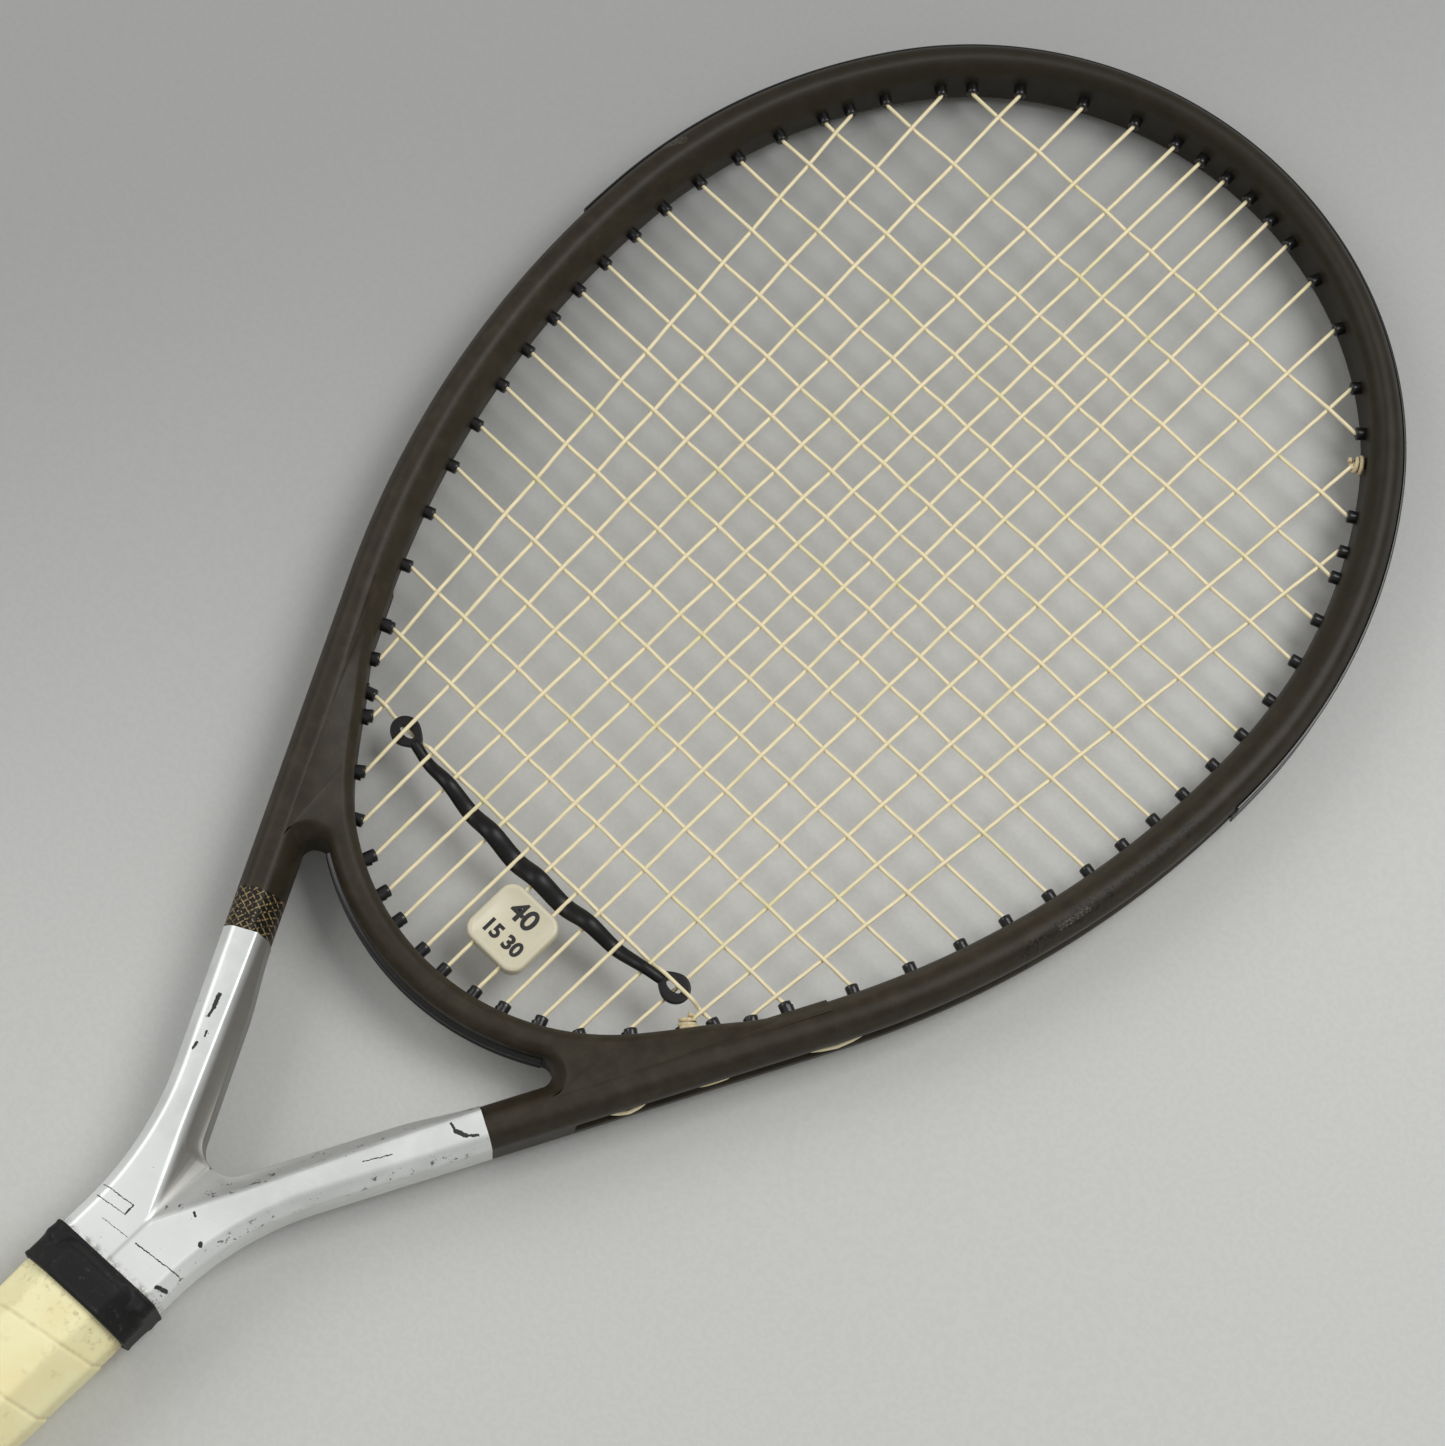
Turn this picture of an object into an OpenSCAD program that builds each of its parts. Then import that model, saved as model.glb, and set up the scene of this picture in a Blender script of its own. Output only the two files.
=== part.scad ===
// Tennis racket with an oversize head, strung with one piece of string.
// X runs across the face, Y from the butt to the tip, Z square to the strings.
// The origin is the centre of the butt end face, and z = 0 is the string plane.

/* [Head outline] */
// Overall length, butt end to tip
overall_len = 698.5; // [690:0.5:710]
// Outer radius of the arc over the tip
tip_r = 130; // [126:1:134]
// Angle from the tip to the shoulder arc
tip_sweep = 55.5; // [54:0.5:57]
// Outer radius of the shoulder arcs
shoulder_r = 182; // [178:1:186]
// Angle that a shoulder arc covers
shoulder_sweep = 33; // [32:0.5:34]
// Outer radius of the flank arcs, down to the straight arms
flank_r = 315; // [308:1:322]
// Angle that a flank arc covers
flank_sweep = 29; // [28:0.5:30]

/* [Hoop section] */
// Width of the hoop across its wall
hoop_w = 14; // [13.4:0.1:14.6]
// Height of the hoop square to the strings
hoop_h = 25.6; // [24:0.2:27]
// Height of the upright outer wall
outer_wall_h = 15.2; // [13:0.2:17]
// Height of the upright inner wall
inner_wall_h = 11; // [9:0.2:13]
// Run of the outer bevel
outer_bevel = 2.9; // [2.2:0.1:3.4]
// Run of the inner bevel
inner_bevel = 5; // [4:0.1:5.6]
// Fall of the top facet towards the outside
facet_fall = 0.5; // [0.2:0.1:0.9]
// Laminate thickness of the tube
tube_wall = 1.4; // [1.2:0.1:1.7]
// Width of the string channel in the outer wall
channel_w = 7.2; // [6.8:0.1:7.8]
// Depth of the string channel
channel_d = 3.4; // [3.2:0.1:3.6]

/* [Throat] */
// From the end of the flank arcs down to the lowest point of the string area
throat_fall = 68.5; // [66:0.5:71]
// Radius of the string side where it runs out along the arms
flat_r = 280; // [270:1:290]
// Where that radius meets the arm's wall, above the end of the flank arc
touch_above = 3.63; // [3:0.01:4.5]
// Width of the bridge, string side to throat side
bridge_w = 9.2; // [8.6:0.1:10]
// Height of the bridge
bridge_h = 21; // [18:0.5:23]
// Bevel along the edges of the bridge
bridge_bevel = 2.4; // [1.5:0.1:3]
// Radius of the two upper corners of the throat opening
corner_r = 4.5; // [3.8:0.1:5]
// Depth of the string channel in the bridge
bridge_channel_d = 2.2; // [2:0.1:2.4]

/* [Yoke and shaft] */
// Length of brown arm below the flank arc, left side
left_arm = 117; // [113:0.5:121]
// Length of brown arm below the flank arc, right side
right_arm = 107; // [103:0.5:111]
// Width of the shaft where the arms have met
shaft_w = 36.8; // [35:0.2:38]
// Radius of the flare from arm to shaft
flare_r = 100; // [90:1:108]
// Straight run of the shaft below the flare
shaft_run = 11; // [9:0.5:13]
// Point of the V recess, below the crossing of the arms' outer lines and the shaft's sides
recess_fall = 13.95; // [11:0.05:17]
// Bottom of the throat opening, above that crossing
crotch_rise = 10.55; // [9:0.05:14]
// Radius at the bottom of the throat opening
crotch_r = 8.5; // [7.5:0.25:9.5]

/* [Handle] */
// Width of the pallet across its flats, along X
pallet_w = 32; // [30.5:0.25:33]
// Height of the pallet across its flats, along Z
pallet_h = 28.4; // [27.5:0.25:29.5]
// Corner cut of the octagon
pallet_cut = 8.2; // [7.5:0.1:9]
// Width of the pair of tubes inside the pallet
stem_w = 22; // [21:0.25:22.5]
// Height of the pair of tubes inside the pallet
stem_h = 16; // [15:0.25:16.5]
// Gap between the grip wrap and the lower end of the shaft
wrap_gap = 3; // [2:0.5:6]
// Thickness of the leather wrap
wrap_t = 1.7; // [1.4:0.1:2]
// Height of the overlap ridge of the wrap
wrap_ridge = 0.5; // [0.3:0.05:0.7]
// Pitch of the wrap's turns
wrap_pitch = 21; // [18:0.5:24]
// How far the rubber collar reaches below the lower end of the shaft
collar_low = 10.5; // [9:0.5:12]
// Length of the rubber collar
collar_len = 14; // [13:0.5:16]
// Thickness of the rubber collar
collar_t = 1.1; // [0.9:0.1:1.3]
// Length of the butt cap
cap_len = 30; // [26:0.5:34]
// Flare of the butt cap beyond the pallet, each side
cap_flare = 2.7; // [2.2:0.1:3.2]
// Thickness of the cap's skirt at its upper edge
skirt_t = 0.8; // [0.6:0.05:1]
// Radius of the door in the butt end
door_r = 9; // [8:0.25:10]
// Thickness of the door and of the end wall
door_t = 1.8; // [1.5:0.1:2.2]

/* [String pattern] */
// Diameter of the string
string_d = 1.3; // [1.2:0.02:1.4]
// Main strings at the tip, distances from the centre line
main_tip_x = [5, 14.8, 24.5, 38.6, 54.8, 71.9, 89.5, 105.2];
// Main strings at the throat, distances from the centre line
main_throat_x = [4.4, 15.6, 24.8, 35.4, 45.6, 56.2, 67.2, 79];
// First cross string, below the tip
first_cross_drop = 49.5; // [47.5:0.5:52.5]
// Gaps between cross strings, tip to throat
cross_gap = [23, 19, 14.5, 15, 15, 14.5, 13.5, 13.5, 12.5,
             12.5, 13.5, 14, 15, 15, 16, 17, 18, 19];
// Height of the weave, centre of a cross string at a main string
weave = 1.36; // [1.32:0.01:1.5]

/* [Grommets] */
// Outer radius of a grommet barrel
barrel_r = 1.9; // [1.8:0.05:2]
// Bore radius of a grommet barrel
bore_r = 1.15; // [1.05:0.05:1.25]
// Length of barrel inside the hoop's inner wall
barrel_out = 2.2; // [1.8:0.1:2.6]
// Thickness of the grommet strips
strip_t = 1; // [0.8:0.05:1.1]
// Thickness of the bumper guard over the outer wall
bumper_t = 1; // [0.8:0.1:1.3]
// Height of the bumper guard over the outer wall
bumper_h = 14; // [13:0.2:14.6]
// Play between a strip and the channel's side walls
strip_play = 0.2; // [0.1:0.05:0.3]

/* [Accessories] */
// Side of the square serve tile
tile_w = 22; // [20:0.5:23]
// Corner radius of the tile
tile_corner = 4.6; // [4:0.1:5]
// Thickness of the tile above the string plane
tile_above = 2.7; // [2.4:0.1:3]
// Thickness of the tile below the string plane
tile_below = 2.5; // [2.2:0.1:2.8]
// Height of the tile's centre above the lowest point of the string area
tile_rise = 25.8; // [25:0.1:26.4]
// Clearance between the tile and the strings it slides on
tile_play = 0.3; // [0.25:0.05:0.4]
// Thickness of the string dampener at its ends
damper_d = 4; // [3.8:0.05:4.1]
// Width that the dampener gains at its middle
damper_swell = 2.4; // [1.5:0.1:2.6]
// Outer radius of the dampener's eyelets
eyelet_r = 5.8; // [5.4:0.1:6]
// Thickness of the dampener's eyelets
eyelet_t = 2.2; // [1.8:0.1:2.4]
// Radius of the hole in an eyelet
eyelet_hole = 1.6; // [1.3:0.1:1.9]

/* [Hidden] */
$fn = 64;

eps = 0.01;
R_STRING = string_d / 2;
// The wrap starts on the cap's skirt, above its end flange
wrap_y = 3.8;

// Headings: 0 at the tip, growing clockwise down the right side
PH1 = tip_sweep;
PH2 = PH1 + shoulder_sweep;
PH3 = PH2 + flank_sweep;
function out_dir(p) = [sin(p), cos(p)];
function run_dir(p) = [cos(p), -sin(p)];
C1 = [0, overall_len - bumper_t - tip_r];
C2 = C1 + (tip_r - shoulder_r) * out_dir(PH1);
C3 = C2 + (shoulder_r - flank_r) * out_dir(PH2);
// Each arc: centre, outer radius, first and last heading
ARCS = [[C1, tip_r, 0, PH1], [C2, shoulder_r, PH1, PH2], [C3, flank_r, PH2, PH3]];

// A station on the hoop is [heading, distance down the straight arm]
function arc_of(p) = ARCS[p <= PH1 ? 0 : p <= PH2 ? 1 : 2];
function at(st, off) = let (a = arc_of(st[0]))
    a[0] + (a[1] + off) * out_dir(st[0]) + st[1] * run_dir(st[0]);
// Station whose point at this offset has the given y, or the given x at the tip
function heading_y(i, y, off) = acos((y - ARCS[i][0][1]) / (ARCS[i][1] + off));
function station_y(y, off) =
    heading_y(0, y, off) <= PH1 ? [heading_y(0, y, off), 0]
    : heading_y(1, y, off) <= PH2 ? [heading_y(1, y, off), 0]
    : heading_y(2, y, off) <= PH3 ? [heading_y(2, y, off), 0]
    : [PH3, (at([PH3, 0], off)[1] - y) / sin(PH3)];
function heading_x(i, x, off) = asin((x - ARCS[i][0][0]) / (ARCS[i][1] + off));
function station_x(x, off) =
    heading_x(0, x, off) <= PH1 ? [heading_x(0, x, off), 0] : [heading_x(1, x, off), 0];
ARM_END = at([PH3, 0], 0);

// Places children at a station, local X outward, local -Y down the hoop
module station(st, off = 0) {
    translate(at(st, off)) rotate([0, 0, 90 - st[0]]) children();
}
module both_sides() {
    children();
    mirror([1, 0, 0]) children();
}

// Sections of the hoop: [offset from the outer wall, height]
HALF_H = hoop_h / 2;
function both_faces(up) = concat([for (p = up) [p[0], -p[1]]], [for (i = [len(up) - 1:-1:0]) up[i]]);
HOOP_SEC = both_faces([[0, outer_wall_h / 2], [-outer_bevel, HALF_H - facet_fall],
    [inner_bevel - hoop_w, HALF_H], [-hoop_w, inner_wall_h / 2]]);
// The bore is set back behind the floor of the channel
BORE_SEC = let (t = tube_wall, xf = -channel_d - t, zc = channel_w / 2 + t)
    both_faces([[xf, zc], [-t, zc], [-t, outer_wall_h / 2 - t * 0.4],
        [-outer_bevel - t * 0.6, HALF_H - facet_fall - t],
        [inner_bevel - hoop_w + t * 0.4, HALF_H - t], [t - hoop_w, inner_wall_h / 2 - t * 0.3]]);
// Box section from offset u0 to u1; its outer edge leans along the hoop by skew
function box_sec(u0, u1, z, skew = 0) = [[u0, z, 0], [u1, z, skew], [u1, -z, skew], [u0, -z, 0]];
CHANNEL_SEC = box_sec(-channel_d, 1, channel_w / 2, 1.7);

// Closed loft over rings of equally many points
function loft_faces(rings, n) = concat(
    [for (i = [0:rings - 2], j = [0:n - 1]) let (a = i * n + j, b = i * n + (j + 1) % n)
        [a, b, a + n]],
    [for (i = [0:rings - 2], j = [0:n - 1]) let (a = i * n + j, b = i * n + (j + 1) % n)
        [b, b + n, a + n]],
    [for (j = [1:n - 2]) [0, j + 1, j]],
    [for (j = [1:n - 2]) let (o = (rings - 1) * n) [o, o + j, o + j + 1]]);
module loft(rings) {
    n = len(rings[0]);
    polyhedron([for (r = rings, p = r) p], loft_faces(len(rings), n));
}

// Stations from the tip down one side, a few degrees apart
STEPS = [12, 8, 10];
HEADINGS = concat([0], [for (i = [0:2], k = [1:STEPS[i]])
    ARCS[i][2] + (ARCS[i][3] - ARCS[i][2]) * k / STEPS[i]]);
// Route of [station, side] from the left round the tip to the right
function route(left, right) = concat([[left, -1]],
    [for (i = [len(HEADINGS) - 1:-1:1]) if (HEADINGS[i] < left[0] - 0.5 || left[1] > 0)
        [[HEADINGS[i], 0], -1]],
    [for (h = HEADINGS) if (h < right[0] - 0.5 || right[1] > 0) [[h, 0], 1]], [[right, 1]]);
module hoop_loft(rt, sec) {
    loft([for (r = rt) [for (q = sec)
        let (lean = len(q) > 2 ? q[2] : 0, p = at(r[0] + [0, lean], q[0])) [r[1] * p[0], p[1], q[1]]]]);
}
// Carries a profile along the hoop between two headings of one arc
module along_arc(i, p0, p1) {
    translate(ARCS[i][0]) rotate([0, 0, 90 - p1])
        rotate_extrude(angle = p1 - p0) translate([ARCS[i][1], 0]) children();
}
// Carries a profile down the straight arm from d0 to d1
module along_arm(d0, d1) {
    station([PH3, d0]) rotate([90, 0, 0]) linear_extrude(d1 - d0) children();
}

// Grommet holes: [mouth, direction, length to the string's corner, station]
MOUTH = -hoop_w - barrel_out;
// Play between the string and the strip that it lies on
lane_play = 0.35;
LANE = -channel_d + strip_t + R_STRING + lane_play;
function hoop_hole(st) = [at(st, MOUTH), out_dir(st[0]), LANE - MOUTH, st];
function sum_to(v, n) = n <= 0 ? 0 : v[n - 1] + sum_to(v, n - 1);
cross_y = [for (j = [0:len(cross_gap)]) overall_len - first_cross_drop - sum_to(cross_gap, j)];
function cross_hole(j) = hoop_hole(station_y(cross_y[j], MOUTH));
function tip_hole(k) = hoop_hole(station_x(main_tip_x[k], MOUTH));
N_MAIN = len(main_tip_x);
N_CROSS = len(cross_y);
LAST = N_CROSS - 1;

// Bridge: string side and throat side are arcs about one centre; beyond the
// turn the string side is a flatter arc that runs out along the arm's wall
throat_y = ARM_END[1] - throat_fall;
N_ARM = out_dir(PH3);
WALL_PT = at([PH3, 0], -hoop_w);
// Where the flat arc touches the wall, as a distance down the arm
TOUCH_D = -touch_above;
C_FLAT = WALL_PT + TOUCH_D * run_dir(PH3) - flat_r * N_ARM;
// The arc about the centre line that touches the flat one and the lowest point
FLAT_RISE = C_FLAT[1] - throat_y;
bridge_r = (flat_r * flat_r - C_FLAT[0] * C_FLAT[0] - FLAT_RISE * FLAT_RISE) / (2 * (flat_r - FLAT_RISE));
CB = [0, throat_y + bridge_r];
bridge_turn = atan2(-C_FLAT[0], C_FLAT[1] - CB[1]);
R_THROAT = bridge_r + bridge_w;
BRIDGE_LANE = R_THROAT - bridge_channel_d + strip_t + R_STRING + lane_play;
R_MOUTH = bridge_r - barrel_out;
function bridge_dir(th) = [sin(th), -cos(th)];
function bridge_pt(th, r) = CB + r * bridge_dir(th);
function bridge_th(x) = asin(x / R_MOUTH);
function bridge_mouth(x) = bridge_th(x) <= bridge_turn ? bridge_pt(bridge_th(x), R_MOUTH)
    : C_FLAT + (flat_r - barrel_out) * bridge_dir(asin((x - C_FLAT[0]) / (flat_r - barrel_out)));
// Outermost main's mouth at the throat, above the lowest point of the string area
main_throat_rise = 56.2;
main_throat_y = throat_y + main_throat_rise;
// Mains 0 to 3 pass through the bridge, 4 to 6 through its root and the arm,
// and the outermost through the hoop alone
function root_hole(m) = let (d = N_ARM * (ARM_END - m))
    [m, N_ARM, d + LANE, [PH3, (m - ARM_END) * run_dir(PH3)]];
function throat_hole(k) =
    k < 4 ? let (th = bridge_th(main_throat_x[k]))
        [bridge_pt(th, R_MOUTH), bridge_dir(th), BRIDGE_LANE - R_MOUTH, [th, 0]]
    : k < 7 ? root_hole(bridge_mouth(main_throat_x[k]))
    : hoop_hole(station_y(main_throat_y, MOUTH));

// Cylinder along a grommet hole, from before its mouth to the channel
module along_hole(h, r, before, after, side = 0) {
    translate(h[0] + side * [-h[1][1], h[1][0]]) rotate([0, 0, atan2(h[1][1], h[1][0])])
        translate([-before, 0, 0]) rotate([0, 90, 0])
            cylinder(r = r, h = before + h[2] + after, $fn = 20);
}
SIDE_HOLES = [for (j = [0:LAST]) cross_hole(j)];
TIP_HOLES = [for (k = [0:N_MAIN - 1]) tip_hole(k)];
ARM_HOLES = [for (k = [4:N_MAIN - 1]) throat_hole(k)];
BRIDGE_HOLES = [for (k = [0:3]) throat_hole(k)];
// The channel ends a little below the last grommet on the arm
CHANNEL_END = ARM_HOLES[0][3][1] + 7;
// The knots share a grommet with the second main from the right
TIE_K = 6;
TIE_GAP = string_d + 0.2;
FIT = 0.1;

/* ---------------------------------------------------------------- frame */

module drill(r) {
    both_sides() for (h = concat(SIDE_HOLES, TIP_HOLES, ARM_HOLES)) along_hole(h, r, 3, 4);
    along_hole(TIP_HOLES[TIE_K], r, 3, 4, -TIE_GAP);
    along_hole(throat_hole(TIE_K), r, 3, 4, -TIE_GAP);
}

module head_hoop() color([0.2, 0.18, 0.15]) difference() {
    hoop_loft(route([PH3, left_arm], [PH3, right_arm]), HOOP_SEC);
    hoop_loft(route([PH3, left_arm + 1], [PH3, right_arm + 1]), BORE_SEC);
    hoop_loft(route([PH3, CHANNEL_END], [PH3, CHANNEL_END]), CHANNEL_SEC);
    drill(barrel_r + FIT);
}

// Centre of the round corner between the bridge and the arm's inner wall
ARM_TILT = PH3 - 90;
CORNER_TH = asin((N_ARM * (WALL_PT - CB) - corner_r) / (R_THROAT + corner_r)) - ARM_TILT;
CORNER = bridge_pt(CORNER_TH, R_THROAT + corner_r);

// The bridge thins out up the arm and ends a little below the touching point
TIP_RUN = 13;
TIP_TH = 90 - ARM_TILT - asin(TIP_RUN / flat_r);
FOOT_D = (CORNER - ARM_END) * run_dir(PH3);
function string_side(th, g) = th <= bridge_turn ? bridge_pt(th, bridge_r + g)
    : C_FLAT + (flat_r + g) * bridge_dir(th);
// The hoop's inner surface at a height, a little clear of it
function wall_at(d, z) = at([PH3, d], -hoop_w - 0.02
    + inner_bevel * max(0, abs(z) - inner_wall_h / 2) / (HALF_H - inner_wall_h / 2));
BRIDGE_Z = [bridge_h / 2, bridge_h / 2 - bridge_bevel, inner_wall_h / 2];
// From a tip to the centre: [string side edge and face, throat side at each height]
BRIDGE_CHAIN = concat(
    [for (i = [0:4]) let (th = TIP_TH + (bridge_turn + 0.5 - TIP_TH) * i / 4,
                          d0 = TOUCH_D + TIP_RUN, d = d0 + (FOOT_D - d0) * i / 4)
        concat([string_side(th, 0), string_side(th, bridge_bevel)], [for (z = BRIDGE_Z) wall_at(d, z)])],
    [for (i = [1:6]) let (a = -ARM_TILT + (90 + CORNER_TH + ARM_TILT) * i / 6, r = corner_r,
                          th = bridge_turn + (CORNER_TH - bridge_turn) * i / 6, n = [cos(a), sin(a)])
        [string_side(th, 0), string_side(th, bridge_bevel), CORNER + (r + bridge_bevel) * n,
         CORNER + r * n, CORNER + r * n]],
    [for (i = [1:5]) let (th = CORNER_TH * (1 - i / 5), q = bridge_pt(th, R_THROAT))
        [string_side(th, 0), string_side(th, bridge_bevel), bridge_pt(th, R_THROAT - bridge_bevel), q, q]]);
module bridge_blank() {
    z = BRIDGE_Z;
    n = len(BRIDGE_CHAIN);
    loft([for (k = [1 - n:n - 1]) let (c = BRIDGE_CHAIN[n - 1 - abs(k)], m = k < 0 ? -1 : 1)
        [for (q = [[c[0], -z[1]], [c[0], z[1]], [c[1], z[0]], [c[2], z[0]], [c[3], z[1]],
                   [c[4], z[2]], [c[4], -z[2]], [c[3], -z[1]], [c[2], -z[0]], [c[1], -z[0]]])
            [m * q[0][0], q[0][1], q[1]]]]);
}
module bridge_channel() {
    th = bridge_th(main_throat_x[3]) + 3.4;
    translate(CB) rotate([0, 0, -90 - th]) rotate_extrude(angle = 2 * th)
        translate([R_THROAT - bridge_channel_d, -channel_w / 2])
            square([bridge_channel_d + 1, channel_w]);
}

module throat_bridge() color([0.2, 0.18, 0.15]) difference() {
    bridge_blank();
    bridge_channel();
    both_sides() for (h = concat(BRIDGE_HOLES, ARM_HOLES, [SIDE_HOLES[LAST]]))
        along_hole(h, barrel_r + FIT, 3, 4);
    along_hole(throat_hole(TIE_K), barrel_r + FIT, 3, 4, -TIE_GAP);
}

// Yoke: each half is a loft of sections square to its outer edge.
// A rail station is [point on the outer edge, tilt of the section].
SHAFT_HW = shaft_w / 2;
// Where the arm's outer edge would meet the side of the shaft
MEET_Y = ARM_END[1] - (ARM_END[0] - SHAFT_HW) / tan(ARM_TILT);
FLARE_RUN = flare_r * tan(ARM_TILT / 2);
MEET_D = (ARM_END[0] - SHAFT_HW) / sin(ARM_TILT);
FLARE_C = [SHAFT_HW + flare_r, MEET_Y - FLARE_RUN];
shaft_y = FLARE_C[1] - shaft_run;
recess_y = MEET_Y - recess_fall;
crotch_y = MEET_Y + crotch_rise;
wrap_top = shaft_y - wrap_gap;
collar_y = shaft_y - collar_low;
function rail(arm_d) = concat(
    [for (i = [0:7]) let (d = arm_d + (MEET_D - FLARE_RUN - arm_d) * i / 8)
        [ARM_END + d * run_dir(PH3), ARM_TILT]],
    [for (i = [0:14]) let (a = ARM_TILT * (1 - i / 14))
        [FLARE_C + flare_r * [-cos(a), sin(a)], a]],
    [[[SHAFT_HW, shaft_y], 0]]);
CROTCH_C = [0, crotch_y + crotch_r];
// The arms' inner walls run down to the round bottom of the opening
ARM_W = N_ARM * (ARM_END - CROTCH_C) - crotch_r;
CROTCH_D = (CROTCH_C - ARM_END) * run_dir(PH3);
// Distance along a section line from the rail to the throat opening
function to_bottom(p, w) = let (q = CROTCH_C - p, m = q * w, h2 = crotch_r * crotch_r - q * q + m * m)
    h2 > 0 ? m - sqrt(h2) : 1000;
function to_opening(p, w, width) =
    let (u = (-width - N_ARM * (p - ARM_END)) / (N_ARM * w))
    (p + u * w - ARM_END) * run_dir(PH3) < CROTCH_D ? u : to_bottom(p, w);
function to_axis(p, w) = p[0] / -w[0];
// Distance along a section line to the edge of the V recess
function to_ridge(p, w, m) = (m * (p[1] - recess_y) - p[0]) / (w[0] - m * w[1]);
function blend(a, b, t) = a + (b - a) * max(0, min(1, t));
function yoke_section(st, arm_d, t, drop) =
    let (p = st[0], a = st[1], w = [-cos(a), sin(a)],
         // Arms widen from the hoop's width to their own
         down = (p - ARM_END) * run_dir(PH3) - arm_d,
         open = to_opening(p, w, blend(hoop_w, ARM_W, down / 25)),
         axis = to_axis(p, w),
         joined = axis <= open,
         ud = joined ? axis : open,
         ridge = max(hoop_w - inner_bevel, to_ridge(p, w, tan(ARM_TILT) * 0.93)),
         uc = min(ridge, ud - 2),
         y_axis = p[1] + axis * w[1],
         // Surface on the axis falls from the facet to the opening's edge
         fall = joined ? (y_axis - recess_y) / (crotch_y - recess_y) : 1,
         zd = blend(HALF_H, inner_wall_h / 2, pow(max(0, fall), 1.2)),
         up = [[0, outer_wall_h / 2 - t * 0.4], [outer_bevel, HALF_H - facet_fall],
               [uc, HALF_H], [ud, zd]],
         inset = [[t, 0], [t * 0.6, t], [-t * 0.3, t], [-t, t * (zd > 10 ? 1 : 0.6)]])
    [for (s = [-1, 1], i = s < 0 ? [0:3] : [3:-1:0])
        let (u = up[i][0] + inset[i][0], q = p + u * w)
        [max(q[0], t > 0 ? t : 0), q[1] + drop, s * (up[i][1] - inset[i][1])]];

module yoke_half(arm_d) {
    st = rail(arm_d);
    n = len(st);
    difference() {
        loft([for (s = st) yoke_section(s, arm_d, 0, 0)]);
        // The tube's bore runs out at both ends
        loft([for (i = [0:n - 1])
            let (ring = yoke_section(st[i], arm_d, tube_wall, 0),
                 push = i == 0 ? -run_dir(PH3) : i == n - 1 ? [0, -1] : [0, 0])
            [for (q = ring) q + [push[0], push[1], 0]]]);
    }
}
module throat_yoke() color([0.75, 0.77, 0.79]) union() {
    yoke_half(right_arm);
    mirror([1, 0, 0]) yoke_half(left_arm);
}

module shaft_tubes() color([0.12, 0.12, 0.12]) {
    y0 = door_t + 12;
    translate([0, shaft_y, 0]) rotate([90, 0, 0]) linear_extrude(shaft_y - y0) difference() {
        square([stem_w, stem_h], center = true);
        for (s = [-1, 1]) translate([s * stem_w / 4, 0])
            square([stem_w / 2 - 2 * tube_wall, stem_h - 2 * tube_wall], center = true);
    }
}

/* ------------------------------------------------------------- grommets */

STRIP_W = channel_w - 2 * strip_play;
module strip_section() {
    translate([-channel_d, -STRIP_W / 2]) square([strip_t, STRIP_W]);
}
// The bumper wraps the outer wall on both sides of the channel
BUMPER_END = (cross_hole(7)[3][0] + cross_hole(8)[3][0]) / 2;
BUMPER_ROUTE = route([BUMPER_END, 0], [BUMPER_END, 0]);
// A barrel ends inside the strip that carries it
module barrels(holes) {
    for (h = holes) along_hole(h, barrel_r, 0, -R_STRING - lane_play - strip_t / 2);
}
module bores(holes) {
    for (h = holes) along_hole(h, bore_r, 2, 3);
}
BUMPER_HOLES = concat(TIP_HOLES, [for (j = [0:7]) SIDE_HOLES[j]]);
module bumper_guard() color([0.05, 0.05, 0.05]) difference() {
    union() {
        difference() {
            union() {
                hoop_loft(BUMPER_ROUTE, box_sec(-channel_d, 0.5, STRIP_W / 2, 1.7));
                hoop_loft(BUMPER_ROUTE, box_sec(FIT, bumper_t, bumper_h / 2));
            }
            hoop_loft(route([BUMPER_END + 1, 0], [BUMPER_END + 1, 0]),
                      box_sec(strip_t - channel_d, 2 * bumper_t, STRIP_W / 2 - 0.8, -1.9));
        }
        both_sides() barrels(BUMPER_HOLES);
        along_hole(TIP_HOLES[TIE_K], barrel_r, 0, -R_STRING - lane_play, -TIE_GAP);
    }
    both_sides() bores(BUMPER_HOLES);
    along_hole(TIP_HOLES[TIE_K], bore_r, 2, 3, -TIE_GAP);
}
module side_strip(tie) {
    holes = concat([for (j = [8:LAST]) SIDE_HOLES[j]], ARM_HOLES);
    gap = 0.3 / flank_r * 57.3;
    difference() {
        union() {
            along_arc(2, BUMPER_END + gap, PH3) strip_section();
            along_arm(0, CHANNEL_END - 0.5) strip_section();
            barrels(holes);
            if (tie) along_hole(throat_hole(TIE_K), barrel_r, 0, -R_STRING - lane_play, -TIE_GAP);
        }
        bores(holes);
        if (tie) along_hole(throat_hole(TIE_K), bore_r, 2, 3, -TIE_GAP);
    }
}
module grommet_strip_right() color([0.05, 0.05, 0.05]) side_strip(true);
module grommet_strip_left() color([0.05, 0.05, 0.05]) mirror([1, 0, 0]) side_strip(false);
module grommet_strip_throat() color([0.05, 0.05, 0.05]) difference() {
    th = bridge_th(main_throat_x[3]) + 3;
    union() {
        translate(CB) rotate([0, 0, -90 - th]) rotate_extrude(angle = 2 * th)
            translate([R_THROAT - bridge_channel_d, -STRIP_W / 2]) square([strip_t, STRIP_W]);
        both_sides() barrels(BRIDGE_HOLES);
    }
    both_sides() bores(BRIDGE_HOLES);
}

/* -------------------------------------------------------------- strings */

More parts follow.
